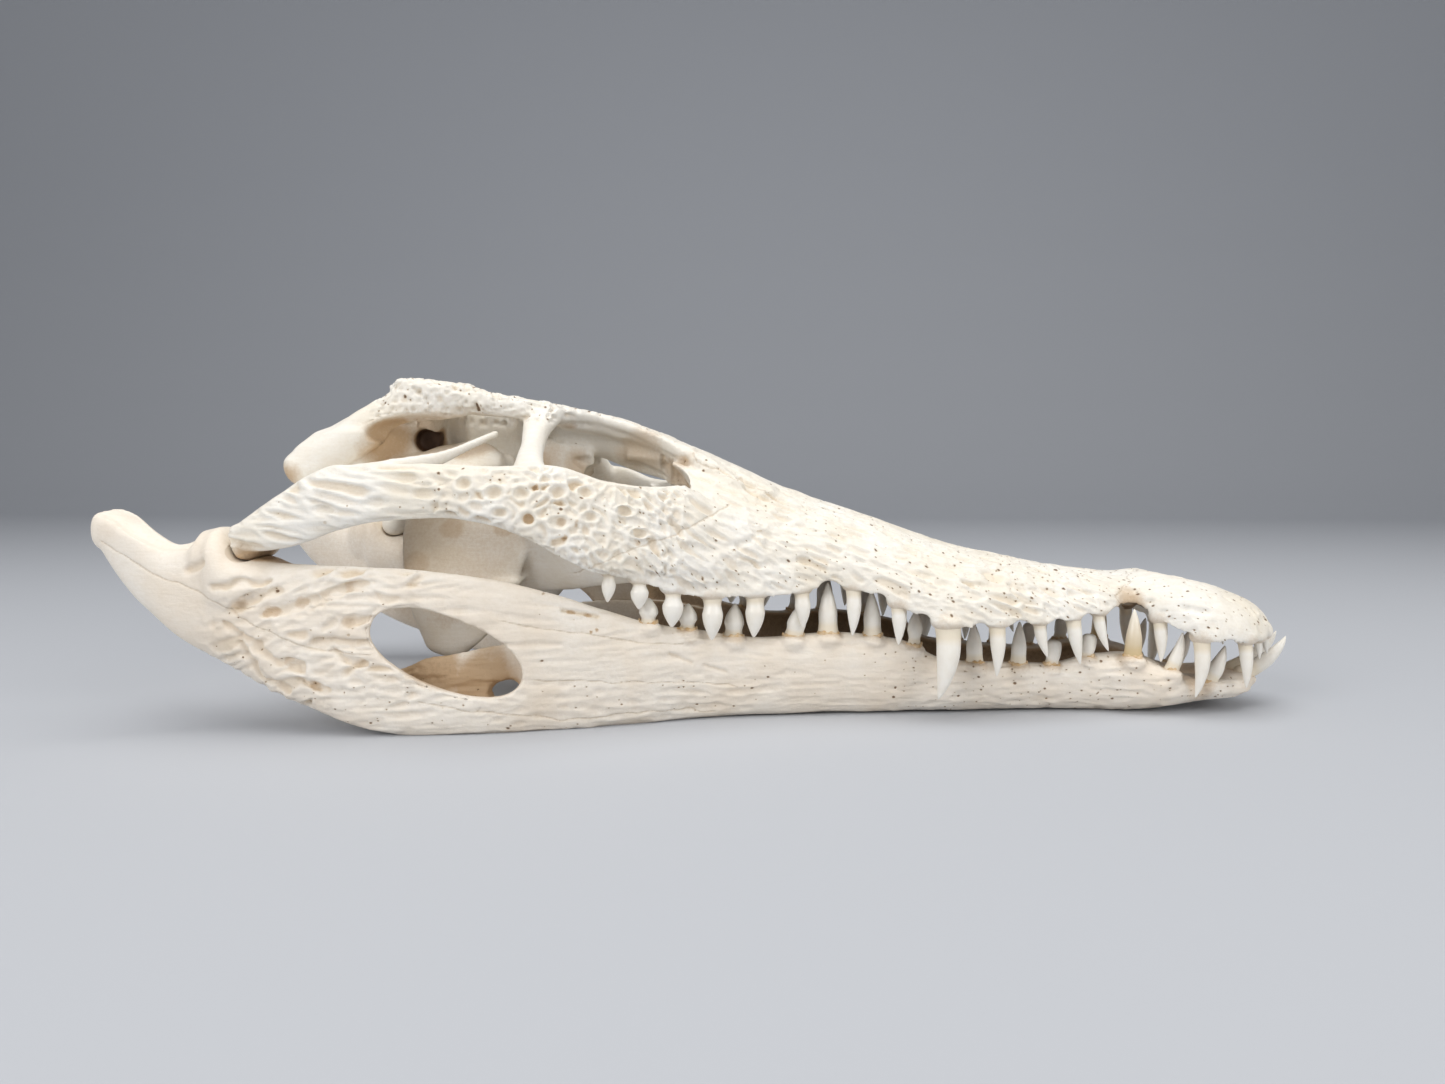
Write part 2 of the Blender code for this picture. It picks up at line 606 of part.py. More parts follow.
# The lower jaw: x, inner y, outer y, bottom, top, lean of the top per height.
DENTARY = [
    (187.5, -1.5, 8, 8, 12, 0), (184, -1.5, 14, 6, 12.8, 0), (178, -1.5, 17.6, 4.6, 13.2, 0.1),
    (168, -1.5, 20.4, 4, 12, 0.15), (158, -1.5, 22.6, 2.2, 14, 0.2), (149, -1.5, 24, 0.4, 19, 0.2),
    (141, -0.5, 24, 0, 20.6, 0.2), (131, 6, 22.2, 0.4, 20.6, 0.22), (114, 10, 23.2, 0.8, 17.4, 0.24),
    (96, 12.8, 26, 0.8, 18, 0.24), (79, 16, 29.2, 0.8, 19, 0.22), (62, 18.6, 31.4, 0.8, 26.5, 0.14),
    (39, 21.6, 34.8, 0.8, 29, 0.12), (15, 26, 39.2, 0.6, 27.6, 0.1), (-4, 31.6, 44.4, 0.4, 30.5, 0.1),
    (-23, 40.5, 52.4, 0, 34.6, 0.08), (-36, 46, 57.6, 0, 39.4, 0.06),
]
JAW_REAR = [
    (-20, 41, 51, 0, 33.6, 0.08), (-36, 47.5, 57.6, 0, 39.4, 0.06), (-50, 53, 62.8, 0, 44.8, 0.05),
    (-65, 58.2, 67.8, 0, 49.2, 0.04), (-80, 61.6, 71.2, 0, 51.8, 0.03),
    (-95, 63.4, 73.6, 0.2, 53.4, 0.02), (-110, 63.8, 74.8, 2.8, 54, 0), (-125, 62, 75, 8, 54.4, 0),
    (-138, 56, 74.6, 12.4, 54.6, 0), (-149, 51, 73.6, 17.8, 56, 0), (-157.5, 51.5, 72.4, 22, 65, 0),
    (-163, 53, 71.4, 25, 63, 0), (-172, 55.5, 70, 30.4, 60, 0), (-180, 56.8, 69, 37, 64, 0),
    (-187, 57.8, 68, 43.4, 70, 0), (-193, 58.4, 67, 50.6, 72, 0), (-197.5, 59, 66, 58, 70.8, 0),
]
INNER_PLATE = [
    (-10, 33, 37.5, 2, 28, 0), (-30, 41.3, 45.6, 2, 30, 0), (-55, 48.8, 52.8, 2, 29, 0),
    (-74, 52.4, 56.4, 2, 26.6, 0), (-84, 54, 58, 2, 24.4, 0), (-92, 55.2, 59.2, 2.6, 23.4, 0),
    (-100, 56.4, 60.6, 4, 20, 0), (-112, 58.4, 64.6, 6.4, 18, 0),
]
JAW_KEEL = [
    (0, 31, 40, 0.6, 7, 0), (-14, 34, 45, 0, 8, 0), (-45, 45, 58, 0, 8, 0), (-75, 53.5, 66.5, 0, 8, 0),
    (-100, 57, 70, 1, 10, 0), (-118, 58.5, 71, 5.4, 16, 0),
]
JOINT_CUP = [
    (-133.5, 54, 71, 37, 53.4, 0), (-138.5, 51, 73.6, 34.6, 54.8, 0), (-142, 48.5, 75, 34, 56, 0),
    (-150, 48, 75.4, 36, 58, 0), (-157, 49, 74, 36, 66, 0), (-159.5, 51, 72, 40, 65.4, 0),
]


JAW_POWER = 0.8
# The main grooves behind the window: points (x, z) along each, and half its height.
JAW_GROOVES = [
    ([(-148, 41.5), (-139, 45), (-133, 46.5)], 1.6), ([(-138, 40), (-131, 41), (-121, 44.5)], 1.8),
    ([(-154, 47.5), (-145, 49), (-137, 49.5)], 1.3), ([(-122, 30.5), (-113, 30), (-103, 30.3)], 1.2),
    ([(-151, 35.5), (-140, 28), (-134, 24), (-126, 22.5)], 1.5), ([(-147, 29), (-141, 20), (-132, 14)], 1.5),
    ([(-126, 18.5), (-119, 15.5)], 1.2), ([(-117, 27.5), (-106, 24)], 1.3), ([(-119, 46), (-105, 49)], 1.5),
    ([(-165, 52), (-158, 55.5)], 1.6), ([(-112, 37), (-104, 38.5)], 1.4),
]
JAW_GROOVE_DEPTH = 1.3


def jaw_face(x, z):
    """Outer y of the jaw behind its window: the bar's, or the cup's where that stands further out."""
    cup = outer_face(JOINT_CUP, x, z, JAW_POWER) if -159 < x < -134 and z > 37 else 0.0
    return max(outer_face(JAW_REAR, x, z, JAW_POWER), cup)


def lower_sockets():
    """The swollen ring of bone round the root of each lower tooth behind the first."""
    made = []
    for x, _, _, half, _ in LOWER_TEETH[1:]:
        y, z = jaw_line(x)
        made.append(ball("lower_socket", (x, y - 4.0, z - 2.2), (half + 1.6, half + 1.2, 3.2), 10, 8))
    return made


def ramus_pieces():
    dentary = upright("dentary", DENTARY, 52, JAW_POWER)
    rear = upright("surangular_angular", JAW_REAR, 52, JAW_POWER)
    inner = upright("inner_plate", INNER_PLATE, 24, JAW_POWER, 14)
    keel = upright("jaw_keel", JAW_KEEL, 24, 0.9, 14)
    cup = upright("joint_cup", JOINT_CUP, 14, JAW_POWER, 20)
    return [rear, inner, keel, cup, *lower_sockets(), dentary]


def block(name, low, high):
    """A closed box between two corners."""
    (x0, y0, z0), (x1, y1, z1) = low, high
    ring = [(y0, z0), (y1, z0), (y1, z1), (y0, z1)]
    return tube(name, [[(x, y, z) for y, z in ring] for x in (x0, x1)])


def joint_roller(name, grow, reach, rounded):
    """The hinge surface below the quadrate. The jaw's socket is the same form, longer, grown by the gap."""
    radius = CONDYLE_RADIUS + grow
    ends = (CONDYLE_Y - 8.5 - reach, CONDYLE_Y + 2.5 + reach)
    rows = [(CONDYLE_X, y, CONDYLE_Z, radius, radius) for y in ends]
    return sweep(name, rows, (1, 0, 0), rings=2, points=16, power=1.0, rounded=rounded)


def ramus_openings():
    """The window and the thinner bone round it, the small hole inside, the hook's trough, the grooves."""
    window = sweep("fenestra_cut", [
        (-83.6, 60, 26.9, 24.8, 11.2), (-77.4, 91, 26.9, 24.8, 11.2),
    ], (1, 0, -0.42), points=24, power=0.92, rounded=False)
    thinned = sweep("fenestra_rim_cut", [
        (-83.7, 58, 26.9, 27.5, 13.4), (-82, 66.4, 26.9, 27.5, 13.4),
    ], (1, 0, -0.42), points=24, power=0.92, rounded=False)
    foramen = sweep("inner_foramen_cut", [
        (-64, 40, 13, 4.6, 3), (-70, 62, 12, 4.6, 3),
    ], (1, 0, 0.3), points=12, rounded=False)
    trough = sweep("hook_trough_cut", [
        (-201, 63.6, 73, 2.6, 3.0), (-192, 64, 73, 3.5, 4.6), (-183, 64.4, 68.2, 4.0, 5.0),
        (-174, 64.6, 63.4, 4.2, 4.4), (-166, 64.2, 61.6, 3.4, 3.0),
    ], (0, 1, 0), points=12)
    made = [window, thinned, foramen, trough]
    for points, height in JAW_GROOVES:
        made.append(groove("jaw_groove", points, jaw_face, height, JAW_GROOVE_DEPTH))
    return made


def ramus_fits():
    """Cut after the bone is blended, so that these faces stay exact: socket, middle line and floor."""
    return [
        joint_roller("socket_cut", SEAM_GAP, 23.0, rounded=False),
        block("above_socket_cut", (-152.6, 30, 60), (-139.6, 95, 75)),
        block("midline_cut", (100, -40, -20), (230, SEAM_GAP / 2, 60)),
        block("floor_cut", (-260, -20, -20), (260, 120, FLOOR_FLAT)),
    ]


# Lower teeth, front to back: x, lean of the tip in x, exposed length, half width, swelling of the crown.
LOWER_TEETH = [
    (184, 15.5, 13, 3.0, 1.0), (167.5, 6.2, 12, 3.0, 1.0), (154.4, 4, 12.5, 2.5, 1.0),
    (141.6, 0.4, 16, 3.0, 1.0), (126.4, 1.2, 8, 2.6, 1.25), (114.6, 1.0, 8.2, 2.6, 1.3),
    (103, 0.4, 14, 2.8, 1.05), (88, -0.6, 14, 3.0, 1.05), (67, 0.5, 12, 2.5, 1.2), (53, -0.6, 15, 3.2, 1.05),
    (37.8, -0.2, 16.6, 3.5, 1.05), (26, 2.0, 10.5, 3.4, 1.1), (6, 0.6, 11, 3.4, 1.15),
    (-9, 0.4, 8.2, 3.0, 1.3), (-21.2, 0.2, 8, 3.0, 1.3),
]
LOWER_ROOT = 6.0


def jaw_line(x):
    """Outer y and top z of the jaw at x."""
    xs = [row[0] for row in DENTARY]
    return smooth(x, xs, [(row[2] + row[5] * 8, row[4]) for row in DENTARY])[0]


def lower_teeth():
    made = []
    for n, (x, lean, length, half, bulge) in enumerate(LOWER_TEETH):
        y, z = jaw_line(x)
        y = y - 4.6 if n else 4.2
        out = -0.03 * length
        base = (x, y, z - 1)
        tip = (x + lean, y + out, z + length)
        made.append(tooth(f"lower_tooth_{n}", base, tip, half, half * 0.9, bulge, LOWER_ROOT))
    return made


def bone_material():
    finish = bpy.data.materials.new("bone")
    finish.use_nodes = True
    shader = finish.node_tree.nodes["Principled BSDF"]
    shader.inputs["Base Color"].default_value = BONE_COLOUR
    shader.inputs["Roughness"].default_value = 0.6
    return finish


def named(made, name, finish):
    made.name = name
    made.data.name = name
    made.data.materials.clear()
    made.data.materials.append(finish)
    return made


def make_cranium(finish):
    pieces = skull_roof() + braincase() + palate()
    for form in [squamosal_horn(), *quadrate(), *cheek_arch(), *upper_sockets()]:
        pieces += pair(form)
    base = snout()
    combine(base, pieces, "UNION")
    combine(base, skull_openings(), "DIFFERENCE")
    as_bone(base, CRANIUM_TRIANGLES)
    combine(base, pair(joint_roller("quadrate_condyle", 0.0, 0.0, rounded=True)) + upper_teeth(), "UNION")
    keep_largest(base)
    return named(base, "cranium", finish)


def make_left_ramus(finish):
    pieces = ramus_pieces()
    base = pieces.pop()
    combine(base, pieces, "UNION")
    combine(base, ramus_openings(), "DIFFERENCE")
    as_bone(base, RAMUS_TRIANGLES)
    combine(base, ramus_fits(), "DIFFERENCE")
    combine(base, lower_teeth(), "UNION")
    keep_largest(base)
    return named(base, "mandible_left", finish)


def set_on_floor(objects):
    """Moves every mesh so that the whole stands on z = 0 with the middle of its box at the origin."""
    corners = np.array([vertex.co for made in objects for vertex in made.data.vertices])
    middle = (corners.min(axis=0) + corners.max(axis=0)) / 2
    for made in objects:
        for vertex in made.data.vertices:
            vertex.co.x -= middle[0]
            vertex.co.z -= FLOOR_FLAT * MM


def main():
    clear_scene()
    finish = bone_material()
    cranium = make_cranium(finish)
    left = make_left_ramus(finish)
    right = named(mirror_copy(left), "mandible_right", finish)
    set_on_floor([cranium, left, right])
    grouped("crocodile_skull", [cranium, left, right])


main()
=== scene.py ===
"""A crocodile skull, life size, resting on its lower jaw: cream bone, white teeth and shreds of dried gum.

The sections follow the order in which the model goes together: the cranium bone by bone, the fusing and
carving of it, its teeth, the lower jaw, its teeth and gum, then the floor, the lights and the camera.
Lengths are millimetres until a mesh is made. X runs to the snout tip, Y to the animal's left, Z up.
"""

import math

import bpy
import numpy as np
from mathutils import Matrix, Vector


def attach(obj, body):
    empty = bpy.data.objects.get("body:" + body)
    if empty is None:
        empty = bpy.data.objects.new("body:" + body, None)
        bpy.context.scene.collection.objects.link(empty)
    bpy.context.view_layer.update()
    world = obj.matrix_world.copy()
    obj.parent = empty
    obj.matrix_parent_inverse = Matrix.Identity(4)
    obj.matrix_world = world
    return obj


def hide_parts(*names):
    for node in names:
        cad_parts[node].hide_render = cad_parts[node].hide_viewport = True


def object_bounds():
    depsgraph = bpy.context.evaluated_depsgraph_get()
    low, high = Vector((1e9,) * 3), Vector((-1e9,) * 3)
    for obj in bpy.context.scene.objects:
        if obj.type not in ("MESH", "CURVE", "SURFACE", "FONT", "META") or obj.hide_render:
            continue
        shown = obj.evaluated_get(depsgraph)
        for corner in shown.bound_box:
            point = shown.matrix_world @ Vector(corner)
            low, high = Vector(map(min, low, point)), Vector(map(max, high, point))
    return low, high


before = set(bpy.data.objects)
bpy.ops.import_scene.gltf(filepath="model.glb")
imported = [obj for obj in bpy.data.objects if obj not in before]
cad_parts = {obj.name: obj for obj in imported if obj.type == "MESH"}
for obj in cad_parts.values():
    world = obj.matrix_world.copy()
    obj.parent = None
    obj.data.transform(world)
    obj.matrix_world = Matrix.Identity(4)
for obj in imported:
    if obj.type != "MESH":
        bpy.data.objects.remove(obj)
cad_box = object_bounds()


# The snout
# Premaxillae, maxillae and nasals: thin plates of bone, grown together into one long dome over the palate.
# Made as squared-off half ellipses set one behind the other, the tooth margin at their foot.

# Metres in a millimetre, and what turns the left side's points into the right side's.
MM = 0.001
MIRROR = (1, -1, 1)

SNOUT_TIP = 193.4
NOSE_START = 162.0
SNOUT_WIDTHS = [
    (-36, 61), (-20, 54.5), (0, 47), (30, 39.5), (46, 37.5), (78, 40.5), (110, 31.5), (131, 24.5),
    (142, 17.5), (150, 22.5), (162, 26.5),
]
MARGIN_HEIGHTS = [
    (-36, 51.5), (-30, 50), (0, 42), (20, 42), (40, 45), (60, 39), (78, 32), (112, 32.5), (131, 35),
    (142, 38), (152, 31.5), (166, 26), (184, 25.5), (194, 27.5),
]
CREST_HEIGHTS = [
    (-36, 94), (-12, 88.2), (0, 86.2), (25, 76.6), (53, 67.2), (81, 57.6), (109, 51.7), (128, 48.6),
    (139, 47.6), (150, 48.6), (166, 46.2), (178, 41.8), (186, 38.4), (190.5, 34.5), (194, 30),
]


def smooth(at, xs, rows):
    """Rows of numbers on the smooth curve through the stations: a cubic from each station to the next.

    The slope at a station is the harmonic mean of the slopes on its two sides, or nought where they
    differ in sign, so the curve never swings past its stations.
    """
    xs = np.asarray(xs, float)
    rows = np.asarray(rows, float).reshape(len(xs), -1)
    order = np.argsort(xs)
    xs, rows = xs[order], rows[order]
    step = np.diff(xs)[:, None]
    rise = np.diff(rows, axis=0) / step
    slope = np.vstack([rise[:1], np.zeros((len(xs) - 2, rows.shape[1])), rise[-1:]])
    both = rise[:-1] * rise[1:]
    total = np.where(both > 0, rise[:-1] + rise[1:], 1.0)
    slope[1:-1] = np.where(both > 0, 2 * both / total, 0.0)
    at = np.clip(np.atleast_1d(np.asarray(at, float)), xs[0], xs[-1])
    i = np.clip(np.searchsorted(xs, at) - 1, 0, len(xs) - 2)
    w = step[i]
    t = ((at - xs[i])[:, None]) / w
    return (
        rows[i] * (1 + 2 * t) * (1 - t) ** 2
        + rows[i + 1] * t * t * (3 - 2 * t)
        + slope[i] * w * t * (1 - t) ** 2
        - slope[i + 1] * w * t * t * (1 - t)
    )


def read_off(at, pairs):
    """One number for each x in `at`, on the smooth curve through (x, number) pairs."""
    xs, ys = zip(*pairs)
    return smooth(at, xs, ys)[:, 0]


def linked(name, data):
    """A new object of the mesh, lamp or camera, in the scene."""
    made = bpy.data.objects.new(name, data)
    bpy.context.scene.collection.objects.link(made)
    return made


def solid(name, points, faces):
    """A new object from blocks of points in millimetres and a list of faces."""
    mesh = bpy.data.meshes.new(name)
    mesh.from_pydata((np.vstack(points) * MM).tolist(), [], faces)
    return linked(name, mesh)


def closed_tubes(name, tubes):
    """One closed mesh for each grid of points rings[i, j]: quads between neighbours, a flat face at each end.

    The signed volume, a sixth of the sum of a . (b x c) over the triangles, tells which way the faces
    look, and they are turned outwards where it is negative.
    """
    points, faces, start = [], [], 0
    for rings in tubes:
        rings = np.asarray(rings, float)
        count, round_it, _ = rings.shape
        flat = rings.reshape(-1, 3)
        i, j = np.meshgrid(np.arange(count - 1), np.arange(round_it), indexing="ij")
        k = (j + 1) % round_it
        here, beyond = i * round_it, (i + 1) * round_it
        quads = np.stack([here + j, here + k, beyond + k, beyond + j], -1).reshape(-1, 4)
        first, last = np.arange(round_it)[::-1], np.arange((count - 1) * round_it, count * round_it)
        fans = [np.stack([np.full(round_it - 2, e[0]), e[1:-1], e[2:]], -1) for e in (first, last)]
        triangles = np.vstack([quads[:, :3], quads[:, [0, 2, 3]], *fans])
        a, b, c = (flat[triangles[:, n]] for n in range(3))
        turned = np.einsum("ij,ij->", a, np.cross(b, c)) < 0
        mine = quads.tolist() + [first.tolist(), last.tolist()]
        faces += [[start + v for v in (face[::-1] if turned else face)] for face in mine]
        points.append(flat)
        start += len(flat)
    return solid(name, points, faces)


def superellipse(points, power):
    """Points (c, s) of a superellipse: sign and power of the cosine and sine of an even turn."""
    turn = 2 * math.pi * np.arange(points) / points
    c, s = np.cos(turn), np.sin(turn)
    return np.sign(c) * np.abs(c) ** power, np.sign(s) * np.abs(s) ** power


def snout_width(x):
    """Half the snout's width at x: the table's, times a superellipse in plan in front of the nose."""
    forward = np.clip((np.atleast_1d(x) - NOSE_START) / (SNOUT_TIP - NOSE_START), 0, 1)
    return read_off(x, SNOUT_WIDTHS) * (1 - forward**2.3) ** 0.5


def snout_form():
    """Each ring at x: a superellipse from margin to crest, closed below by a vault 1 - y**6 high."""
    front = SNOUT_TIP - 47 * (1 - np.linspace(0, 1, 30)[1:]) ** 1.6
    x = np.concatenate([np.linspace(-35, 148, 74), front])
    x[-1] = SNOUT_TIP - 0.05
    half, margin, crest = snout_width(x), read_off(x, MARGIN_HEIGHTS), read_off(x, CREST_HEIGHTS)
    dome = np.radians(np.linspace(0, 180, 41))
    vault = np.radians(np.linspace(180, 360, 31)[1:-1])
    y_dome = np.sign(np.cos(dome)) * np.abs(np.cos(dome)) ** 0.88
    rings = np.zeros((len(x), len(dome) + len(vault), 3))
    rings[..., 0] = x[:, None]
    rings[..., 1] = half[:, None] * np.concatenate([y_dome, np.cos(vault)])
    rings[:, : len(dome), 2] = margin[:, None] + (crest - margin)[:, None] * np.sin(dome) ** 0.88
    rise = np.minimum(4.5, half * 0.2)
    rings[:, len(dome):, 2] = margin[:, None] + rise[:, None] * (1 - np.cos(vault) ** 6)
    return closed_tubes("snout", [rings])


snout = snout_form()
cranium_forms = []


# The skull roof
# The frontal between the orbits, with its keel and raised orbit rims, and the square table behind them.
# Dense bone, pitted on top. Flat bars and plates swept along the middle line or beside it.


def unit(vectors):
    return vectors / np.linalg.norm(vectors, axis=-1, keepdims=True)


def sweep_rings(stations, side, rings=40, points=24, power=0.9, rounded=True):
    """A superellipse carried along the smooth path through stations (x, y, z, half width, half thickness).

    Its width lies along `side` made square to the path, its thickness along the cross product of the
    two. At a rounded end three more rings follow a quarter circle down to a small cap.
    """
    rows = np.asarray(stations, float)
    sides = np.broadcast_to(np.asarray(side, float), (len(rows), 3))
    along = np.concatenate([[0], np.cumsum(np.linalg.norm(np.diff(rows[:, :3], axis=0), axis=1))])
    at = np.linspace(0, along[-1], rings)
    fine = smooth(at, along, np.hstack([rows, sides]))
    centre, half_side, half_thick, refs = fine[:, :3], fine[:, 3], fine[:, 4], fine[:, 5:8]
    tangent = unit(np.gradient(centre, at, axis=0))
    if rounded:
        turn = np.radians([75, 50, 25])
        for first in (True, False):
            i, sign = (0, -1) if first else (-1, 1)
            reach = min(half_side[i], half_thick[i])
            extra = centre[i] + sign * tangent[i] * reach * np.sin(turn)[:, None]
            shrink = np.cos(turn)
            parts = [extra, half_side[i] * shrink, half_thick[i] * shrink]
            parts += [np.repeat(refs[i][None], 3, 0), np.repeat(tangent[i][None], 3, 0)]
            if not first:
                parts = [p[::-1] for p in parts]
            olds = [centre, half_side, half_thick, refs, tangent]
            joined = [np.concatenate([p, o] if first else [o, p]) for p, o in zip(parts, olds)]
            centre, half_side, half_thick, refs, tangent = joined
    across = unit(refs - (refs * tangent).sum(1, keepdims=True) * tangent)
    normal = np.cross(tangent, across)
    c, s = superellipse(points, power)
    return (
        centre[:, None]
        + across[:, None] * (half_side[:, None] * c)[..., None]
        + normal[:, None] * (half_thick[:, None] * s)[..., None]
    )


def sweep(name, stations, side, **how):
    return closed_tubes(name, [sweep_rings(stations, side, **how)])


def both_sides(name, stations, side, **how):
    """The swept form on the left, and the same with Y turned round on the right, in one mesh."""
    rings = sweep_rings(stations, side, **how)
    return closed_tubes(name, [rings, rings * MIRROR])


cranium_forms.append(sweep("frontal", [
    (16, 0, 73.5, 24, 6), (-6, 0, 84.6, 20, 5.2), (-20, 0, 91.4, 14.5, 4.4), (-32, 0, 96.4, 12.5, 4),
    (-44, 0, 100.2, 15, 4), (-56, 0, 102.2, 26, 4),
], (0, 1, 0), power=0.6))
cranium_forms.append(sweep("frontal_keel", [
    (-2, 0, 79.5, 8, 6), (-16, 0, 84.8, 7.5, 6.4), (-32, 0, 90, 7.5, 6.6), (-46, 0, 95, 8, 6.4),
    (-60, 0, 96, 11, 8.5),
], (0, 1, 0)))
cranium_forms.append(both_sides("orbit_rims", [
    (6, 23, 78, 5, 3.4), (-3, 20, 84.2, 4.4, 3.6), (-14, 16.6, 90.4, 3, 2.6), (-28, 12.8, 97, 2.4, 2.1),
    (-42, 13.8, 101.6, 2.4, 2.1), (-55, 26, 103.8, 3.5, 2.6),
], (0, 1, 0)))
cranium_forms.append(sweep("skull_table", [
    (-54, 0, 103.2, 31.5, 3.4), (-70, 0, 105.5, 34.5, 3.8), (-88, 0, 107.6, 37, 4.2),
    (-103, 0, 111.2, 38.5, 4.5),
], (0, 1, 0), power=0.45, points=36))
cranium_forms.append(both_sides("table_edges", [
    (-58, 30.5, 103.6, 3.4, 3.6), (-75, 34, 106.2, 3.6, 4), (-92, 36.5, 109.4, 4, 4.6),
    (-107, 37.5, 111.0, 4, 4.4),
], (0, 1, 0)))


# The braincase
# The box round the brain with the plate, wings and round knob at its back, where the neck joins.
# Solid bone here: sweeps that stand, lie and reach out from one another, and two ball-like knobs.


def ball_rings(centre, radii, rings=22, points=28, power=1.0):
    """Rings of an ellipsoid across X, at even turns from pole to pole."""
    turn = np.radians(np.linspace(-88, 88, rings))
    c, s = superellipse(points, power)
    x = centre[0] + radii[0] * np.sin(turn)
    y = centre[1] + radii[1] * np.cos(turn)[:, None] * c
    z = centre[2] + radii[2] * np.cos(turn)[:, None] * s
    return np.stack([np.repeat(x[:, None], points, 1), y, z], axis=2)


cranium_forms.append(sweep("braincase_walls", [
    (-84, 0, 104, 24, 19), (-84, 0, 94, 21, 14.5), (-85, 0, 82, 19, 12), (-85, 0, 68, 16, 10.5),
    (-82, 0, 54, 16, 11),
], (1, 0, 0), power=0.8, rounded=False))
cranium_forms.append(both_sides("laterosphenoids", [
    (-66, 13, 86, 10, 3), (-57, 10, 86.5, 8, 2.6), (-49, 7.5, 88, 5, 2.4),
], (0, 0, 1), power=0.8))
cranium_forms.append(sweep("occipital_plate", [
    (-98, 0, 111, 37, 3.5), (-101, 0, 104, 35, 3.8), (-104, 0, 96, 26, 4), (-105, 0, 88, 17, 4),
], (0, 1, 0), power=0.6))
cranium_forms.append(both_sides("exoccipitals", [
    (-100, 0, 95, 13, 5), (-105, 14, 95.5, 13.5, 4.5), (-115, 28, 95, 13, 4.5), (-127, 39.5, 91, 10, 4.6),
    (-136, 45.5, 86, 7, 4.6),
], (0, 0, 1)))
cranium_forms.append(closed_tubes("occipital_condyle", [ball_rings((-108, 0, 82), (7, 7, 5.5))]))
cranium_forms.append(both_sides("basal_tubers", [
    (-100, 4, 84, 7, 6), (-100, 5, 68, 7, 5), (-97, 6, 60, 5, 4.5),
], (0, 1, 0)))


# The squamosal and the quadrate
# The horn that runs back from each corner of the table over the ear, and below it the stout bar that
# carries the jaw joint. The joint's own surface is a short roller.

CONDYLE = (-147.0, 63.5, 60.5)
CONDYLE_RADIUS = 5.2

cranium_forms.append(both_sides("squamosal_horns", [
    (-86, 32, 108, 6, 5.5), (-103, 36, 106.5, 6, 7.2), (-116, 39.5, 99.5, 6, 7.4), (-128, 43.5, 91, 5.6, 7.2),
    (-138.4, 47, 84, 4.6, 6),
], (0, 1, 0)))
cranium_forms.append(both_sides("quadrates", [
    (-82, 24, 88, 15, 5), (-98, 34, 84, 17, 5), (-116, 46, 76, 18, 5), (-133, 56, 68.5, 15, 5),
    (-142, 60, 66, 12, 4.6),
], (0.2, 0.95, -0.3), power=0.8))
cranium_forms.append(both_sides("pterygoid_walls", [
    (-90, 27, 86, 20, 3), (-88, 24, 70, 19, 2.6), (-84, 20, 54, 20, 3),
], (1, 0, 0), power=0.7))


def roller_rings(grow, reach, rounded):
    """A cylinder across the jaw joint: radius grown by the socket's gap, ends moved out by reach."""
    x, y, z = CONDYLE
    radius = CONDYLE_RADIUS + grow
    rows = [(x, at, z, radius, radius) for at in (y - 8.5 - reach, y + 2.5 + reach)]
    return sweep_rings(rows, (1, 0, 0), rings=12, points=48, power=1.0, rounded=rounded)


rollers = roller_rings(0.0, 0.0, True)
cranium_forms.append(closed_tubes("quadrate_condyles", [rollers, rollers * MIRROR]))


# The cheek arches
# Jugal and quadratojugal, the bar below each orbit that runs back to the jaw joint, deep and honeycombed
# under the post behind the orbit. Upright slices of the bar, and two thinner sweeps for post and strut.

CHEEK_ARCH = [
    (14, 31, 40.5, 50, 68, -0.35), (0, 37, 46.2, 46, 73, -0.34), (-10, 41, 50.3, 47.5, 79, -0.3),
    (-22, 46.5, 55.6, 50, 79, -0.26), (-34, 52.3, 61.5, 51, 80.6, -0.24),
    (-46, 57, 66.2, 56.6, 84.6, -0.22), (-57, 60.8, 69.6, 63, 86, -0.2),
    (-69, 63.8, 72.4, 67.4, 85.4, -0.18), (-82, 66.2, 74.4, 69.2, 86, -0.16),
    (-100, 67.6, 75.4, 68.2, 86.2, -0.14), (-114, 67.4, 75.4, 65.4, 86, -0.12),
    (-124, 66.6, 75, 61.8, 83, -0.1), (-133, 65.5, 74.2, 59.4, 77.8, -0.08),
    (-142, 64, 73, 58.4, 72, -0.05), (-148.6, 62.5, 71.5, 59.8, 67.2, 0),
]


def upright_rings(rows, rings, power, points=28):
    """Upright superellipses along X. Each row is x, inner y, outer y, bottom, top, lean per height.

    A point stands half the width from the middle by the cosine and half the height by the sine, and
    moves out by the lean times its height over the middle. Three shrinking rings round off each end.
    """
    rows = np.asarray(rows, float)
    at = np.linspace(rows[0, 0], rows[-1, 0], rings)
    inner, outer, low, high, lean = smooth(at, rows[:, 0], rows[:, 1:]).T
    shrink, reach = np.cos(np.radians([72, 45, 20])), np.sin(np.radians([72, 45, 20]))
    sign = 1 if rows[0, 0] > rows[-1, 0] else -1
    half, tall = (outer - inner) / 2, (high - low) / 2
    first, last = min(half[0], tall[0]), min(half[-1], tall[-1])
    x = np.concatenate([at[0] + sign * first * reach, at, (at[-1] - sign * last * reach)[::-1]])
    scale = np.concatenate([shrink, np.ones(rings), shrink[::-1]])
    middle_y, middle_z, half, tall, lean = (
        np.concatenate([np.full(3, v[0]), v, np.full(3, v[-1])])
        for v in ((inner + outer) / 2, (low + high) / 2, half, tall, lean)
    )
    c, s = superellipse(points, power)
    up = (tall * scale)[:, None] * s
    across = middle_y[:, None] + (half * scale)[:, None] * c + lean[:, None] * up
    return np.stack([np.repeat(x[:, None], points, 1), across, middle_z[:, None] + up], axis=2)


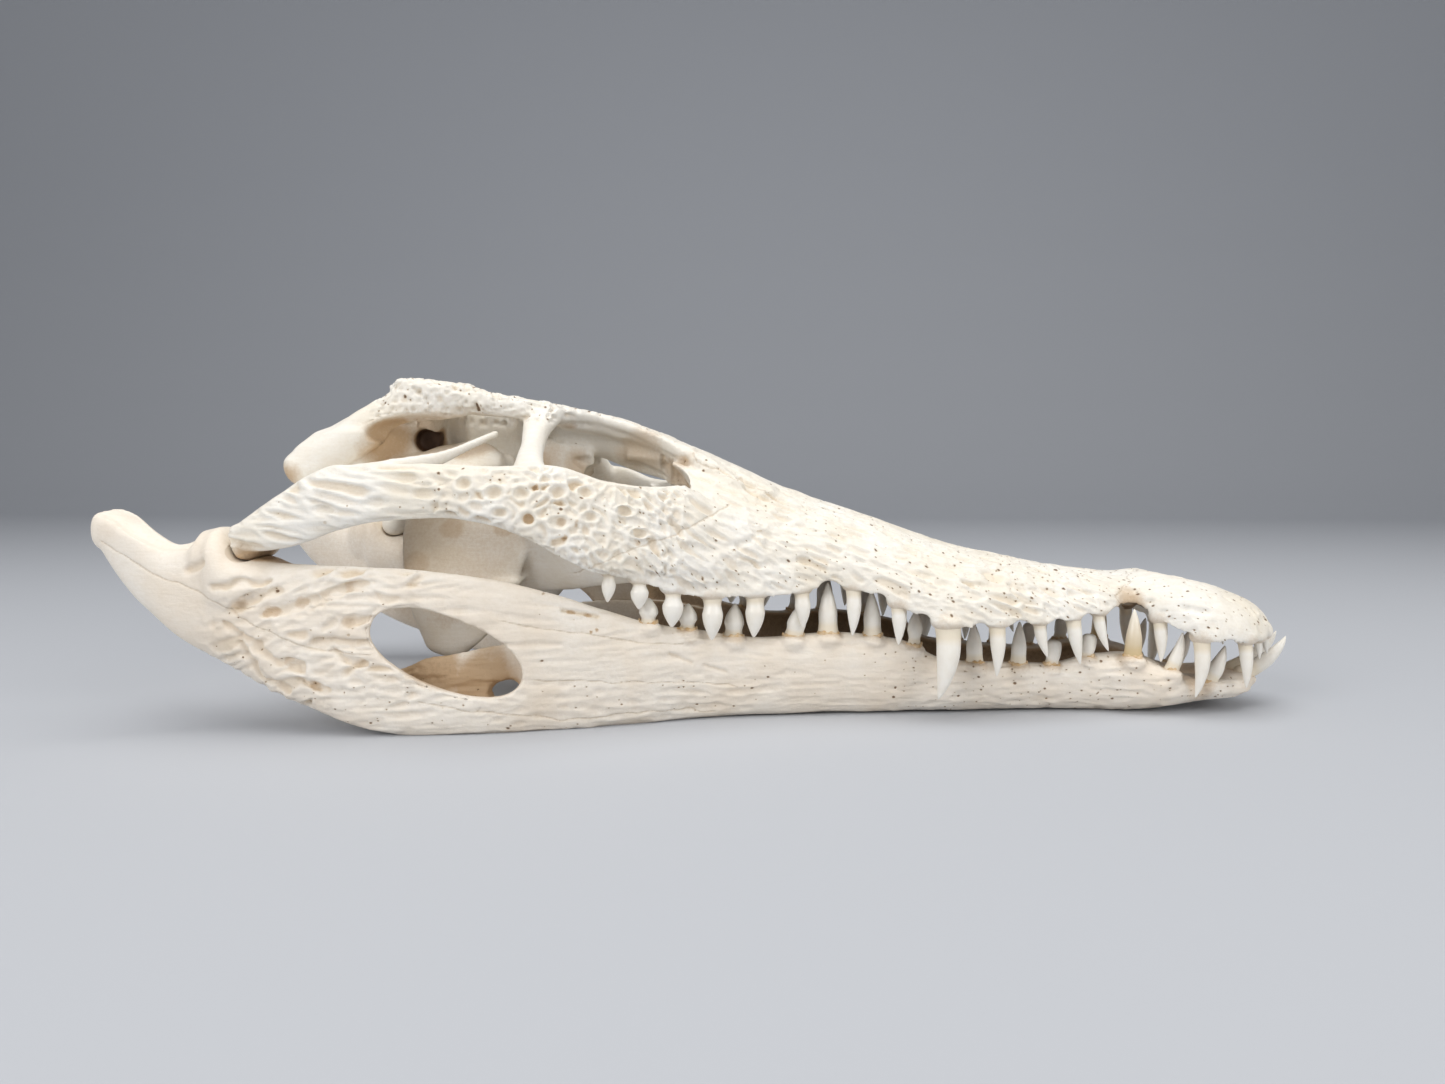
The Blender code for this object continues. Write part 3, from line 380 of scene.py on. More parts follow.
arch = upright_rings(CHEEK_ARCH, 90, 0.85)
cranium_forms.append(closed_tubes("cheek_arches", [arch, arch * MIRROR]))
cranium_forms.append(both_sides("postorbital_bars", [
    (-60, 30, 103, 7, 5), (-60.5, 36, 98, 4.8, 4), (-59.5, 46, 91.5, 3.9, 3.6), (-58, 56, 86.4, 4.6, 3.8),
    (-57, 61.5, 81, 7, 3.6),
], (1, 0, 0)))
cranium_forms.append(both_sides("quadratojugal_struts", [
    (-108, 69, 81.5, 5, 2.4), (-95, 64.5, 84.4, 3.7, 1.5), (-85.5, 58, 88, 2.2, 1.1),
    (-79, 48, 92.2, 1.4, 0.95), (-74.4, 37, 96, 1.3, 1.2),
], (0, 0, 1), power=0.8))
# The largest cells of the honeycomb: x, z, half length, half height. The rest is carved later.
CHEEK_PITS = [
    (-46, 68, 3.6, 2.0), (-55, 69, 2.2, 1.9), (-65, 77, 2.9, 2.0), (-57, 77, 2.5, 2.2),
    (-47, 77.4, 2.4, 2.0), (-39, 77, 2.5, 1.8), (-74, 80, 2.5, 2.1), (-37, 69.6, 2.4, 1.6),
    (-63.5, 71, 2.7, 1.5), (-27, 71, 3.2, 1.5), (-22, 64, 3.4, 1.4), (-86, 77, 4.2, 1.6),
    (-101, 74, 5.0, 1.5), (-92, 82, 4.0, 1.5), (-118, 72, 5.0, 1.5),
]
CHEEK_PIT_DEPTH = 1.3


def outer_face(table, x, z, power):
    """Outer y of a bar of upright slices, at x and height z, from the equation of its superellipse."""
    rows = np.asarray(table, float)
    inner, outer, low, high, lean = smooth(x, rows[:, 0], rows[:, 1:])[0]
    up = z - (low + high) / 2
    share = min(abs(up) / ((high - low) / 2), 1)
    return (inner + outer) / 2 + (outer - inner) / 2 * (1 - share ** (2 / power)) ** (power / 2) + lean * up


cheek_hollows = [
    ball_rings((x, outer_face(CHEEK_ARCH, x, z, 0.85), z), (long, CHEEK_PIT_DEPTH, tall), 14, 16)
    for x, z, long, tall in CHEEK_PITS
]


# The palate
# The floor of the skull: the palatine bar, the pterygoid plate with its big flanges that guide the jaw,
# the ectopterygoids that tie them to the cheeks, and the pillars in front of the orbits.

cranium_forms.append(sweep("palatines", [
    (24, 0, 50.5, 20, 6), (0, 0, 50, 13.5, 7), (-30, 0, 50, 11, 6.5), (-62, 0, 51.5, 13, 6),
], (0, 1, 0), power=0.7))
cranium_forms.append(sweep("pterygoid_plate", [
    (-54, 0, 51.5, 15, 4.5), (-78, 0, 52, 20, 4), (-98, 0, 52, 16, 4.5),
], (0, 1, 0), power=0.7))
cranium_forms.append(both_sides("pterygoid_wings", [
    (-79, 8, 52.5, 17, 3.4), (-80, 24, 50, 18, 2.6), (-82, 38, 46, 20, 2.6), (-83, 46, 44, 20, 3),
], (1, 0, 0.2), power=0.8))
cranium_forms.append(both_sides("pterygoid_flanges", [
    (-86, 34, 79, 20, 2.6), (-83.5, 42.5, 62, 22, 2.4), (-84.5, 47, 47, 19.5, 2.6), (-87, 48, 34, 14, 3),
    (-89, 48, 25, 7.5, 3),
], (1, 0, 0), power=0.8))
cranium_forms.append(both_sides("ectopterygoids", [
    (-18, 48.5, 52.5, 5, 3.8), (-30, 48.5, 54, 7.5, 3.4), (-43, 45.5, 55, 10.5, 3), (-55, 41.5, 55, 12, 2.8),
    (-68, 39.5, 52, 12, 3),
], (0, 0.25, 1)))
cranium_forms.append(both_sides("prefrontal_pillars", [
    (-3, 14, 83, 6, 3.6), (-4, 13, 70, 5, 3), (-3, 11, 54, 7, 4),
], (1, 0, 0)))


# The tooth sockets of the upper jaw
# Each tooth stands in a swollen ring of bone, and between the rings the margin is hollowed where a tooth
# of the lower jaw fits. Small balls are added to the margin for the rings, and others cut from it.

# Front to back: x, lean of the tip in x, length seen, half width, swelling of the crown.
UPPER_TEETH = [
    (189, 1, 6, 1.3, 1.0), (184.8, 0.8, 6.5, 1.5, 1.0), (179, 0.5, 15, 2.4, 1.0), (163.4, -2, 19, 2.8, 1.0),
    (150.8, 0.4, 14, 2.4, 1.0), (129.6, 3.5, 12, 2.1, 1.0), (120.5, 2.4, 14.8, 2.6, 1.0),
    (108.5, 2.8, 11.5, 2.2, 1.0), (93.5, 0, 16, 2.8, 1.0), (77, -3, 23.5, 4.3, 1.0), (61, 0, 13, 2.7, 1.0),
    (46, -0.2, 15, 2.7, 1.05), (28.6, 0.8, 11.8, 2.8, 1.1), (13.4, -0.4, 13.8, 3.4, 1.12),
    (-0.6, 0, 13.5, 3.5, 1.15), (-13, -0.3, 11.5, 3.3, 1.3), (-23.4, 0, 9, 2.8, 1.35),
    (-32.5, -0.5, 8.5, 2.2, 1.2),
]
# Where the lower teeth fit between them: x and the hollow's radius.
MARGIN_HOLLOWS = [
    (172, 2.4), (158.5, 2.0), (125.3, 2.4), (114.5, 2.5), (101.5, 3.0), (87.5, 2.8), (68.5, 2.8), (54, 3.0),
    (38, 3.6),
]


def margin_point(x, inset, drop):
    """Left side (x, y, z) of the tooth margin at x, moved in by inset and down by drop."""
    return x, float(snout_width(x)[0]) - inset, float(read_off(x, MARGIN_HEIGHTS)[0]) - drop


sockets = []
for x, _, _, half, _ in UPPER_TEETH:
    sockets.append(ball_rings(margin_point(x, 3.6, -2.0), (half + 1.5, half + 1.1, 3.4), 16, 20))
cranium_forms.append(closed_tubes("upper_sockets", sockets + [rings * MIRROR for rings in sockets]))
# Where the flank is furrowed: each groove from (x, z) to (x, z).
FLANK_GROOVES = [
    (-29, 69, -22, 66.5), (-19, 66, -9, 64), (-24, 61.6, -16, 59.8), (-9, 59.5, 1, 57.5), (4, 59, 12, 60.5),
    (13, 63.4, 21, 62), (20, 66.4, 29, 64.6), (-1, 69.5, 8, 67.5), (9, 52.5, 18, 53), (-8, 50.5, 0, 48.6),
    (22, 53.4, 31, 54.4), (34, 56.5, 42, 55), (49, 54, 57, 51.6), (42, 63.4, 51, 61.6), (29, 71.5, 38, 69.4),
    (57, 57.4, 66, 55.6), (69, 49, 77, 46.6), (82, 47.4, 92, 45.4), (99, 45, 109, 43.4), (120, 43, 129, 42),
    (157, 38, 165, 36), (8, 77, 17, 74.2),
]
GROOVE_HEIGHT = 1.2
GROOVE_DEPTH = 0.9


def flank_face(x, z):
    """Outer y of the snout at x and height z, from the equation of its dome."""
    low, high = float(read_off(x, MARGIN_HEIGHTS)[0]), float(read_off(x, CREST_HEIGHTS)[0])
    share = min(max((z - low) / (high - low), 0), 1)
    return float(snout_width(x)[0]) * (1 - share ** (2 / 0.88)) ** 0.44


def groove(points, face, height, depth):
    """A slim rounded bar half sunk along the face, to be cut away: its path through the (x, z) points."""
    stations = [(x, face(x, z), z, height, depth) for x, z in points]
    return sweep_rings(stations, (0, 0, 1), rings=14, points=14)


def cheek_or_flank(x, z):
    return max(flank_face(x, z), outer_face(CHEEK_ARCH, x, z, 0.85) if x < 12 else 0.0)


flank_furrows = [
    groove([(x0, z0), (x1, z1)], cheek_or_flank, GROOVE_HEIGHT, GROOVE_DEPTH)
    for x0, z0, x1, z1 in FLANK_GROOVES
]
hollows = [
    ball_rings(margin_point(x, 1.4, 0.4), (size, size + 1.0, size * 0.8), 16, 20)
    for x, size in MARGIN_HOLLOWS
]


# The openings of the cranium
# Nostril, orbits, the windows of the table, ear hollows, foramen magnum, and the openings of the palate.
# Closed forms that are cut away before the bone is blended, so their rims come out rounded.

# Centre and radii of the two balls that hollow out each orbit.
UPPER_ORBIT = ((-31.5, 34.5, 92), (23.8, 21, 13.5))
LOWER_ORBIT = ((-32, 30, 73), (24, 20, 21))
orbits = [
    ball_rings(*UPPER_ORBIT, power=0.9), ball_rings(*LOWER_ORBIT),
    sweep_rings(
        [
            (-53, 14, 87.5, 6, 1.2), (-48, 14, 85.8, 7, 4.6), (-42, 14, 84, 7.5, 7.3),
            (-30, 15, 82.5, 7, 7.5), (-20, 16.5, 79.5, 6.5, 7), (-12, 17.5, 74.5, 6, 6),
        ],
        (0, 1, 0),
    ),
    sweep_rings([(-42, 9.5, 83.4, 6, 4.5), (-33, 10, 82.9, 6.5, 4.5), (-24, 11.5, 80.4, 6, 4)], (0, 1, 0)),
    sweep_rings(
        [
            (-42, 12.5, 92, 5, 3.6), (-34, 13.5, 91.6, 4.9, 3.4), (-26, 15, 89.6, 4.2, 3.0),
            (-18, 17.5, 85.6, 3, 2.2),
        ],
        (0, 1, 0),
    ),
]
ears = ball_rings((-97.5, 46.5, 96.2), (19, 19.5, 7))
ear_passages = sweep_rings(
    [(-103.8, 17, 94.4, 4.2, 4.3), (-103.8, 34, 94.4, 4.2, 4.3)], (0, 0, 1), power=1.0, rounded=False,
)
table_windows = sweep_rings([(-82, 16.5, 125, 8.6, 5.8), (-82, 16.5, 88, 8.6, 5.8)], (1, 0, 0), rounded=False)
palate_windows = sweep_rings(
    [(-18, 28, 36, 27, 9.5), (-18, 28, 62, 27, 9.5)], (1, -0.45, 0), power=0.9, rounded=False,
)
left_cuts = [
    *orbits, ears, ear_passages, table_windows, palate_windows, *hollows, *cheek_hollows, *flank_furrows,
]
middle_cuts = [
    ball_rings((162.5, 0, 49), (12.5, 10.5, 12.5)),
    sweep_rings([(160, 0, 42, 6, 6), (138, 0, 42, 4.6, 5)], (0, 0, 1), rounded=False),
    sweep_rings([(-125, 0, 92.5, 4.8, 5.2), (-92, 0, 92, 4.2, 4.6)], (0, 0, 1), rounded=False),
    ball_rings((-92, 0, 46.5), (8, 6.5, 6.5)),
    sweep_rings([
        (-46, 0, 73, 13, 15), (-36, 0, 70.8, 20, 13.4), (-26, 0, 69, 24, 12.6), (-18, 0, 66.5, 22, 11.5),
        (-9, 0, 63, 14, 7),
    ], (0, 1, 0)),
]


def separate(name, tubes):
    """One object for each cutter, because cutters in one mesh may overlap."""
    return [closed_tubes(f"{name}_{n}", [rings]) for n, rings in enumerate(tubes)]


cranium_cuts = separate("opening", middle_cuts + left_cuts + [rings * MIRROR for rings in left_cuts])


# The cranium, blended
# In life the bones grow into one shell. The forms are joined and the openings cut with exact Booleans,
# the whole is skinned again with even faces, and the skin is relaxed so that the joints turn to fillets.


def baked(made):
    """Applies the object's modifiers."""
    graph = bpy.context.evaluated_depsgraph_get()
    graph.update()
    mesh = bpy.data.meshes.new_from_object(made.evaluated_get(graph))
    made.modifiers.clear()
    made.data = mesh


def boolean(made, operation, tool):
    """Joins a closed object, or each one of a collection, to made, or cuts made by it."""
    change = made.modifiers.new(operation, "BOOLEAN")
    change.operation = operation
    change.solver = "MANIFOLD"
    if isinstance(tool, bpy.types.Collection):
        change.operand_type = "COLLECTION"
        change.collection = tool
    else:
        change.object = tool
    baked(made)


def combine(base, others, operation):
    """Joins closed objects to base, or cuts them from it, and removes them."""
    group = bpy.data.collections.new(base.name + "_" + operation.lower())
    bpy.context.scene.collection.children.link(group)
    for member in others:
        bpy.context.scene.collection.objects.unlink(member)
        group.objects.link(member)
    boolean(base, operation, group)
    for member in others:
        bpy.data.objects.remove(member)
    bpy.data.collections.remove(group)


def reskin(made, size, rounds):
    """Even faces of that size in millimetres, relaxed for some rounds."""
    skin = made.modifiers.new("Skin", "REMESH")
    skin.mode = "VOXEL"
    skin.voxel_size = size * MM
    relax = made.modifiers.new("Relax", "SMOOTH")
    relax.factor = 0.5
    relax.iterations = rounds
    baked(made)


SKIN = 0.62
RELAXING = 14
combine(snout, cranium_forms, "UNION")
combine(snout, cranium_cuts, "DIFFERENCE")
reskin(snout, SKIN, RELAXING)


# The cranium, carved
# Crocodile bone is sculptured outside: a honeycomb under the eye that draws out into furrows along the
# snout, pits on the table and nose, pores above the teeth, fine sutures. Inside it is smooth and stained,
# with painted shade on faces that look down.


def read(items, field, width=1, kind=np.float32):
    """One field of all the points, edges, corners or faces of a mesh, in rows where it is wider than one."""
    values = np.empty(len(items) * width, kind)
    items.foreach_get(field, values)
    return values.reshape(-1, width) if width > 1 else values


def surface(made):
    """The mesh's points, in millimetres, and their outward normals."""
    vertices = made.data.vertices
    return read(vertices, "co", 3).astype(float) * 1000, read(vertices, "normal", 3).astype(float)


def scramble(*whole):
    """Whole numbers to a number in 0..1 that looks random: each is mixed in by multiply, xor and shift."""
    mixed = np.uint32(0x9E3779B9)
    for part in whole:
        mixed = mixed ^ (np.asarray(part).astype(np.int64) & 0xFFFFFFFF).astype(np.uint32)
        mixed = (mixed.astype(np.uint64) * 0x85EBCA6B & 0xFFFFFFFF).astype(np.uint32)
        mixed = mixed ^ (mixed >> np.uint32(15))
        mixed = (mixed.astype(np.uint64) * 0xC2B2AE35 & 0xFFFFFFFF).astype(np.uint32)
        mixed = mixed ^ (mixed >> np.uint32(13))
    return mixed / 4294967296.0


def rise(at, low, high):
    """0 up to low, 1 from high, and t * t * (3 - 2 * t) between."""
    t = np.clip((at - low) / (high - low), 0, 1)
    return t * t * (3 - 2 * t)


def band(at, low, high, soft):
    """1 between low and high, falling to 0 over `soft` outside them."""
    return rise(at, low - soft, low) * (1 - rise(at, high, high + soft))


def ripple(points, length, seed):
    """Smooth noise in -1..1: random numbers at the corners of a lattice, blended by t * t * (3 - 2 * t)."""
    at = points / np.asarray(length, float)
    base = np.floor(at).astype(np.int64)
    t = at - base
    t = t * t * (3 - 2 * t)
    total = 0.0
    for corner in range(8):
        step = np.array([corner >> 2 & 1, corner >> 1 & 1, corner & 1])
        weight = np.prod(np.where(step, t, 1 - t), axis=1)
        total = total + weight * scramble(*(base + step).T, seed)
    return 2 * total - 1


def cells(u, v, seed):
    """A scatter of points, one somewhere in each unit square: the distance to the nearest and to the next
    nearest of them, and a random number that belongs to the nearest."""
    base_u, base_v = np.floor(u).astype(np.int64), np.floor(v).astype(np.int64)
    nearest, second, own = np.full(u.shape, 9.0), np.full(u.shape, 9.0), np.zeros(u.shape)
    for step_u in (-1, 0, 1):
        for step_v in (-1, 0, 1):
            cu, cv = base_u + step_u, base_v + step_v
            pu = cu + 0.5 + 0.8 * (scramble(cu, cv, seed) - 0.5)
            pv = cv + 0.5 + 0.8 * (scramble(cu, cv, seed + 1) - 0.5)
            far = np.hypot(pu - u, pv - v)
            closer = far < nearest
            second = np.where(closer, nearest, np.minimum(second, far))
            own = np.where(closer, scramble(cu, cv, seed + 2), own)
            nearest = np.where(closer, far, nearest)
    return nearest, second, own


class Relief:
    """The carving of a skin: the height of each point, and how hollow it is from the deepest sink there."""

    def __init__(self, height):
        self.height = height
        self.hollow = np.zeros(len(height))

    def sink(self, where, depth, shape):
        """Lowers the skin by the depth, on that part of the bone and as far as the shape goes."""
        self.height = self.height - where * depth * shape
        self.hollow = np.maximum(self.hollow, where * depth * shape)

    def net(self, where, scatter, depths, rims):
        """Cells with a rim left between them: least + more * lot ** power deep."""
        near, second, own = scatter
        least, more, power = depths
        self.sink(where, least + more * own**power, rise(second - near, *rims))

    def holes(self, where, scatter, depths, edge):
        """A round hole at the middle of each cell, more * lot ** power deep."""
        near, _, own = scatter
        more, power = depths
        self.sink(where, more * own**power, 1 - rise(near, *edge))


# A distance beyond all that a suture or a socket does to the skin, and the radius under which a stain
# keeps to the hollows.
FAR = 9.0
SMALL_SPOT = 4


def spots(points, table, hollow, warp, twist, seed):
    """How stained or shaded each point is by the table's spots, real stains and painted shade, which are
    ragged and the same on both sides.
    """
    x, y, z = points.T
    stain_and_shade, grain = np.zeros(len(points)), ripple(points, 1.6, seed)
    for cx, cy, cz, radius, strength in table:
        far = np.sqrt((x - cx) ** 2 + (np.abs(y) - cy) ** 2 + (z - cz) ** 2) / radius
        if radius < SMALL_SPOT:
            far = far + 0.25 * grain + 0.6 * (1 - np.minimum(hollow, 1))
        stain_and_shade = np.maximum(stain_and_shade, strength * (1 - rise(far + 0.25 * warp + 0.1 * twist, 0.45, 1.15)))
    return stain_and_shade


def in_ball(points, centre, radii):
    """Distance from the centre of an ellipsoid or its mirror image: under 1 inside, and 1 on its skin."""
    x, y, z = points.T
    (cx, cy, cz), (rx, ry, rz) = centre, radii
    return np.sqrt(((x - cx) / rx) ** 2 + ((np.abs(y) - cy) / ry) ** 2 + ((z - cz) / rz) ** 2)


def from_sockets(points, feet, squash):
    """Distance from each point to the rim of the nearest tooth socket, of (foot, half width) pairs."""
    x, y, z = points.T
    least = np.full(len(points), FAR)
    for (px, py, pz), half in feet:
        away = np.sqrt((x - px) ** 2 + (np.abs(y) - py) ** 2 + ((z - pz) * squash) ** 2) - half
        least = np.minimum(least, away)
    return least


def path_distance(u, v, path):
    """Distance from each (u, v) to a line through the path's points: the least over its straight pieces."""
    path = np.asarray(path, float)
    best = np.full(u.shape, 99.0)
    for (u0, v0), (u1, v1) in zip(path[:-1], path[1:]):
        du, dv = u1 - u0, v1 - v0
        along = np.clip(((u - u0) * du + (v - v0) * dv) / (du**2 + dv**2), 0, 1)
        best = np.minimum(best, np.hypot(u - u0 - along * du, v - v0 - along * dv))
    return best


# Centre height and girth of the turn round the long axis, so that patterns keep their size on the snout.
TURN_HEIGHTS = [(-200, 60), (-30, 58), (20, 48), (80, 36), (195, 26)]
TURN_GIRTHS = [(-200, 58), (-45, 58), (0, 46), (60, 36), (110, 30), (140, 22), (160, 25), (195, 14)]
SUTURE_WAVE = 1.3
SUTURE_REACH = 3.0
# Where the snout's bones meet across the axis: x, and the reach forward of the suture's middle.
CROSS_SUTURES = {"nose": (137.0, 9.0), "middle": (72.0, 4.0), "brow": (6.0, 10.0)}


def turned(points):
    """Length round the long axis from the middle of the top, left positive, and the angle above level."""
    x, y, z = points.T
    angle = np.arctan2(z - read_off(x, TURN_HEIGHTS), np.abs(y))
    return np.where(y < 0, -1.0, 1.0) * read_off(x, TURN_GIRTHS) * (math.pi / 2 - angle), angle


def suture_x(which, angle, side):
    """X of a cross suture at an angle round the axis: it reaches forward over the top, in fine waves."""
    start, reach = CROSS_SUTURES[which]
    return (
        start + reach * np.sin(angle) ** 3
        + SUTURE_WAVE * np.sin(9 * angle + side) + 0.5 * SUTURE_WAVE * np.sin(23 * angle + 2 * side)
    )


# Seen from the side, as (x, z): the jugal on the maxilla, and the prefrontal in front of the orbit.
JUGAL_SUTURE = [(-46, 50), (-34, 54.5), (-28, 57.5), (-16, 61.5), (-6, 66), (4, 72)]
PREFRONTAL_SUTURE = [(-9, 90), (-6, 86), (1, 84), (9, 79), (20, 74)]

# Brown and tan stains, with painted shade in the recesses of ear, orbit, jaw joint, flange and nostril:
# x, y, z, radius, strength. The left side has the same.
CRANIUM_STAINS_AND_SHADE = [
    (-98, 30, 95, 16, 0.3), (-104, 17.5, 94.4, 7.5, 1.25), (-86, 30, 92, 12, 0.4),
    (-114, 34, 94.5, 13, 0.55), (-110, 38, 92, 6, 0.8), (-62, 22, 88, 12, 0.55), (-50, 14, 86, 9, 0.4),
    (-52, 22, 94, 7, 0.55), (-139, 47, 83, 6, 0.55), (-146, 63, 56, 9, 0.8), (-136, 58, 60, 8, 0.6),
    (-84, 44, 60, 32, 0.27), (-99, 46, 52, 7, 0.4), (-70, 44, 66, 5, 0.42), (-88, 46, 66, 6, 0.42),
    (-30, 14, 88, 13, 0.35), (-14, 15, 82, 12, 0.4), (-120, 52, 74, 10, 0.3), (140, 14, 36, 9, 0.5),
    (163, 0, 38, 11, 0.8), (-55, 69, 69, 2.6, 0.5), (-46, 65, 68, 3.6, 0.3), (-51, 67, 70, 1.9, 0.5),
    (-41, 65, 68, 1.9, 0.72), (-44, 67, 64, 1.7, 0.85), (-53, 67, 79, 1.5, 0.75), (-23, 57, 61, 2.1, 0.5),
    (-9, 52, 55, 1.6, 0.85),
]


def carve_cranium(points, normals):
    """The height that each point moves along its normal, its marks (hollow, how many pores, nearness of a
    suture, stain and painted shade) and its place on the unrolled skin."""
    x, y, z = points.T
    side = np.where(y < 0, 0.0, 1.0)
    round_it, angle = turned(points)
    outward = normals[:, 1] * np.sign(y)
    warp, twist = ripple(points, 9.0, 3), ripple(points, 4.0, 4)
    skin_side = rise(outward, 0.15, 0.5)
    skin_top = rise(normals[:, 2], 0.35, 0.7)
    skin = np.maximum(skin_side, skin_top)
    far_out = np.abs(y) > read_off(x, [(-200, 40), (-60, 30), (-5, 22), (10, 2), (200, 0)])
    outer_half = np.abs(y) > read_off(x, [(row[0], (row[1] + row[2]) / 2 - 1.5) for row in CHEEK_ARCH[::-1]])
    table = band(x, -112, -50, 5) * rise(z, 98.5, 101.5) * skin
    frontal = band(x, -58, 4, 8) * rise(z, 84, 92) * skin_top * (np.abs(y) < 24)
    in_orbit = np.minimum(in_ball(points, *UPPER_ORBIT), in_ball(points, *LOWER_ORBIT))
    calm = rise(in_orbit, 1.01, 1.13)
    above = z - read_off(x, MARGIN_HEIGHTS)
    below_margin = rise(above, 0.5, 4)

    jugal = band(x, -78, -16, 12) * band(z, 50, 88, 2) * skin_side * (outer_half | (x > -22)) * calm
    rear_arch = band(x, -150, -82, 12) * band(z, 56, 92, 2) * skin_side * outer_half
    flank = band(x, -14, 128, 16) * skin * below_margin * far_out * calm
    nose = band(x, 96, 200, 14) * skin * below_margin

    lumps = 0.34 * ripple(points, 12.0, 5) * skin + 0.20 * ripple(points, 5.5, 6) * skin
    relief = Relief(lumps + 0.1 * ripple(points, 8.0, 7))

    # The large cells of the honeycomb, each a bowl with a rounded rim.
    spared = np.ones(len(points))
    for px, pz, long, tall in CHEEK_PITS:
        out = np.hypot((x - px) / long, (z - pz) / tall) + 0.22 * twist + 0.16 * ripple(points, 2.0, 13)
        behind = rear_arch * (px < -84)
        near_pit = (jugal + 0.4 * behind) * (1 - rise(out, 1.0, 1.5))
        spared = spared * (1 - 0.8 * np.clip(near_pit, 0, 1))
        relief.sink(np.maximum(jugal, 0.6 * behind), 1.1, 1 - rise(out, 0.25, 1.0))
        relief.height = relief.height + 0.35 * jugal * band(out, 1.15, 1.35, 0.3)

    # The lesser cells between them, of two sizes, most of them shallow and a few deep.
    u = (x + 2.2 * warp + 0.7 * twist) / 4.4
    v = (round_it + 2.0 * ripple(points, 8.0, 14) + 0.7 * ripple(points, 3.5, 15)) / 3.3
    near, second, own = cells(u, v, 11)
    bowl = rise(second - near, 0.07, 0.5)
    relief.sink(jugal * spared, 0.45 + 1.25 * own**1.5, bowl)
    fine = cells(u * 1.9 + 7, v * 1.9 + 3, 12)
    relief.net(jugal * spared * (1 - 0.6 * bowl * own), fine, (0, 0.8, 1.3), (0.1, 0.5))

    # Furrows: cells drawn out along the snout and bent by the warp, with finer ones over them.
    lift = 0.05 * x + 2.6 * ripple(points, (24.0, 12.0, 12.0), 8)
    furrows = cells((x + 3.5 * warp + twist) / 9.0, (round_it + lift + 0.5 * twist) / 3.1, 21)
    relief.net(flank, furrows, (0.25, 0.95, 1.5), (0.04, 0.5))
    finer = cells((x + 2.5 * warp) / 4.6, (round_it - lift + 0.4 * twist) / 1.8, 22)
    relief.net(flank, finer, (0, 0.5, 1), (0.08, 0.5))

    # The rear of the arch: long ridges, with fine ones between.
    slope = z + 0.2 * x + 2.0 * ripple(points, (26.0, 10.0, 10.0), 9)
    ridges = cells((x + 3 * warp) / 17, (slope + 0.4 * twist) / 3.4, 31)
    relief.net(rear_arch * spared, ridges, (0.3, 1.1, 1.4), (0.05, 0.55))
    finer = cells((x + 2 * warp + twist) / 7.5, (slope + 0.3 * twist) / 1.7, 32)
    relief.net(rear_arch, finer, (0, 0.45, 1), (0.08, 0.55))

    # Nose and table: separate round pits.
    relief.holes(nose, cells((x + warp) / 4.4, (round_it + lift) / 3.6, 41), (0.6, 1.4), (0.12, 0.46))
    flat_v = np.where(skin_top > 0.5, y, z)
    for size, seed, deep in ((3.4, 51, 1.2), (2.1, 54, 0.85)):
        pits = cells((x + warp) / size, (flat_v + warp) / size, seed)
        relief.holes(np.maximum(table, frontal * 0.8), pits, (deep, 1.3), (0.15, 0.55))
    relief.net(table, pits, (0, 0.4, 1), (0.05, 0.4))
    relief.height = relief.height - 1.3 * rise(-x, 104, 113) * rise(z, 96, 100) * skin

    pores = 0.22 * flank + 0.36 * nose + 0.3 * (flank + nose) * band(above, 3, 9, 3)
    pores = np.clip(pores + 0.5 * table + 0.25 * frontal + 0.25 * jugal + 0.05 * rear_arch, 0, 0.7)

    sway = 1.1 * ripple(points, 4.0, 71) + 0.5 * ripple(points, 1.6, 73)
    gap = np.full(len(points), FAR)
    gap = np.minimum(gap, np.abs(x - suture_x("nose", angle, side)) + FAR * (skin < 0.3))
    for path, region in (
        (JUGAL_SUTURE, skin_side > 0.2), (PREFRONTAL_SUTURE, (np.abs(y) > 12) & (skin > 0.2)),
    ):
        gap = np.minimum(gap, path_distance(x + sway, z + sway, path) + FAR * ~region)
    off_the_middle = (x < 8) | (x > 148) | (skin_top < 0.3)
    gap = np.minimum(gap, np.abs(y + 0.7 * ripple(points, 3.5, 72)) + FAR * off_the_middle)
    relief.height = relief.height - 0.18 * (1 - rise(gap, 0.1, 0.8))
    suture = 1 - np.minimum(gap, SUTURE_REACH) / SUTURE_REACH

    stain_and_shade = spots(points, CRANIUM_STAINS_AND_SHADE, relief.hollow, warp, twist, 17)
    feet = [(margin_point(row[0], 3.8, 1.0), row[3]) for row in UPPER_TEETH]
    socket = from_sockets(points, feet, 0.8)
    stain_and_shade = np.maximum(stain_and_shade, 0.30 * (1 - rise(socket + warp, 0.4, 3.2)))
    # Painted shade: faces that look down inside the snout over the mouth go tan to near black, and other
    # downward inner faces a little tan.
    painted_mouth_shade = rise(-normals[:, 2], 0.0, 0.5) * band(x, 10, 190, 8) * (np.abs(y) < snout_width(x) - 5) * 0.85
    inside = (1 - skin) * rise(-normals[:, 2], 0.0, 0.6) * 0.16
    stain_and_shade = np.maximum(stain_and_shade, np.maximum(inside, painted_mouth_shade))
    place = np.stack([x, round_it, z], axis=1)
    return relief.height, np.stack([relief.hollow, pores, suture, stain_and_shade], axis=1), place


def stored(made, name, kind, field, values):
    """Keeps one value for each point of the mesh under that name."""
    kept = made.data.attributes.new(name, kind, "POINT")
    kept.data.foreach_set(field, np.asarray(values, np.float32).ravel())


def marked_as_wall(made, value):
    """Tells the faces of a cutter from those of the skin, through all the cuts that follow."""
    kept = made.data.attributes.new("wall", "FLOAT", "FACE")
    kept.data.foreach_set("value", np.full(len(made.data.polygons), value, np.float32))


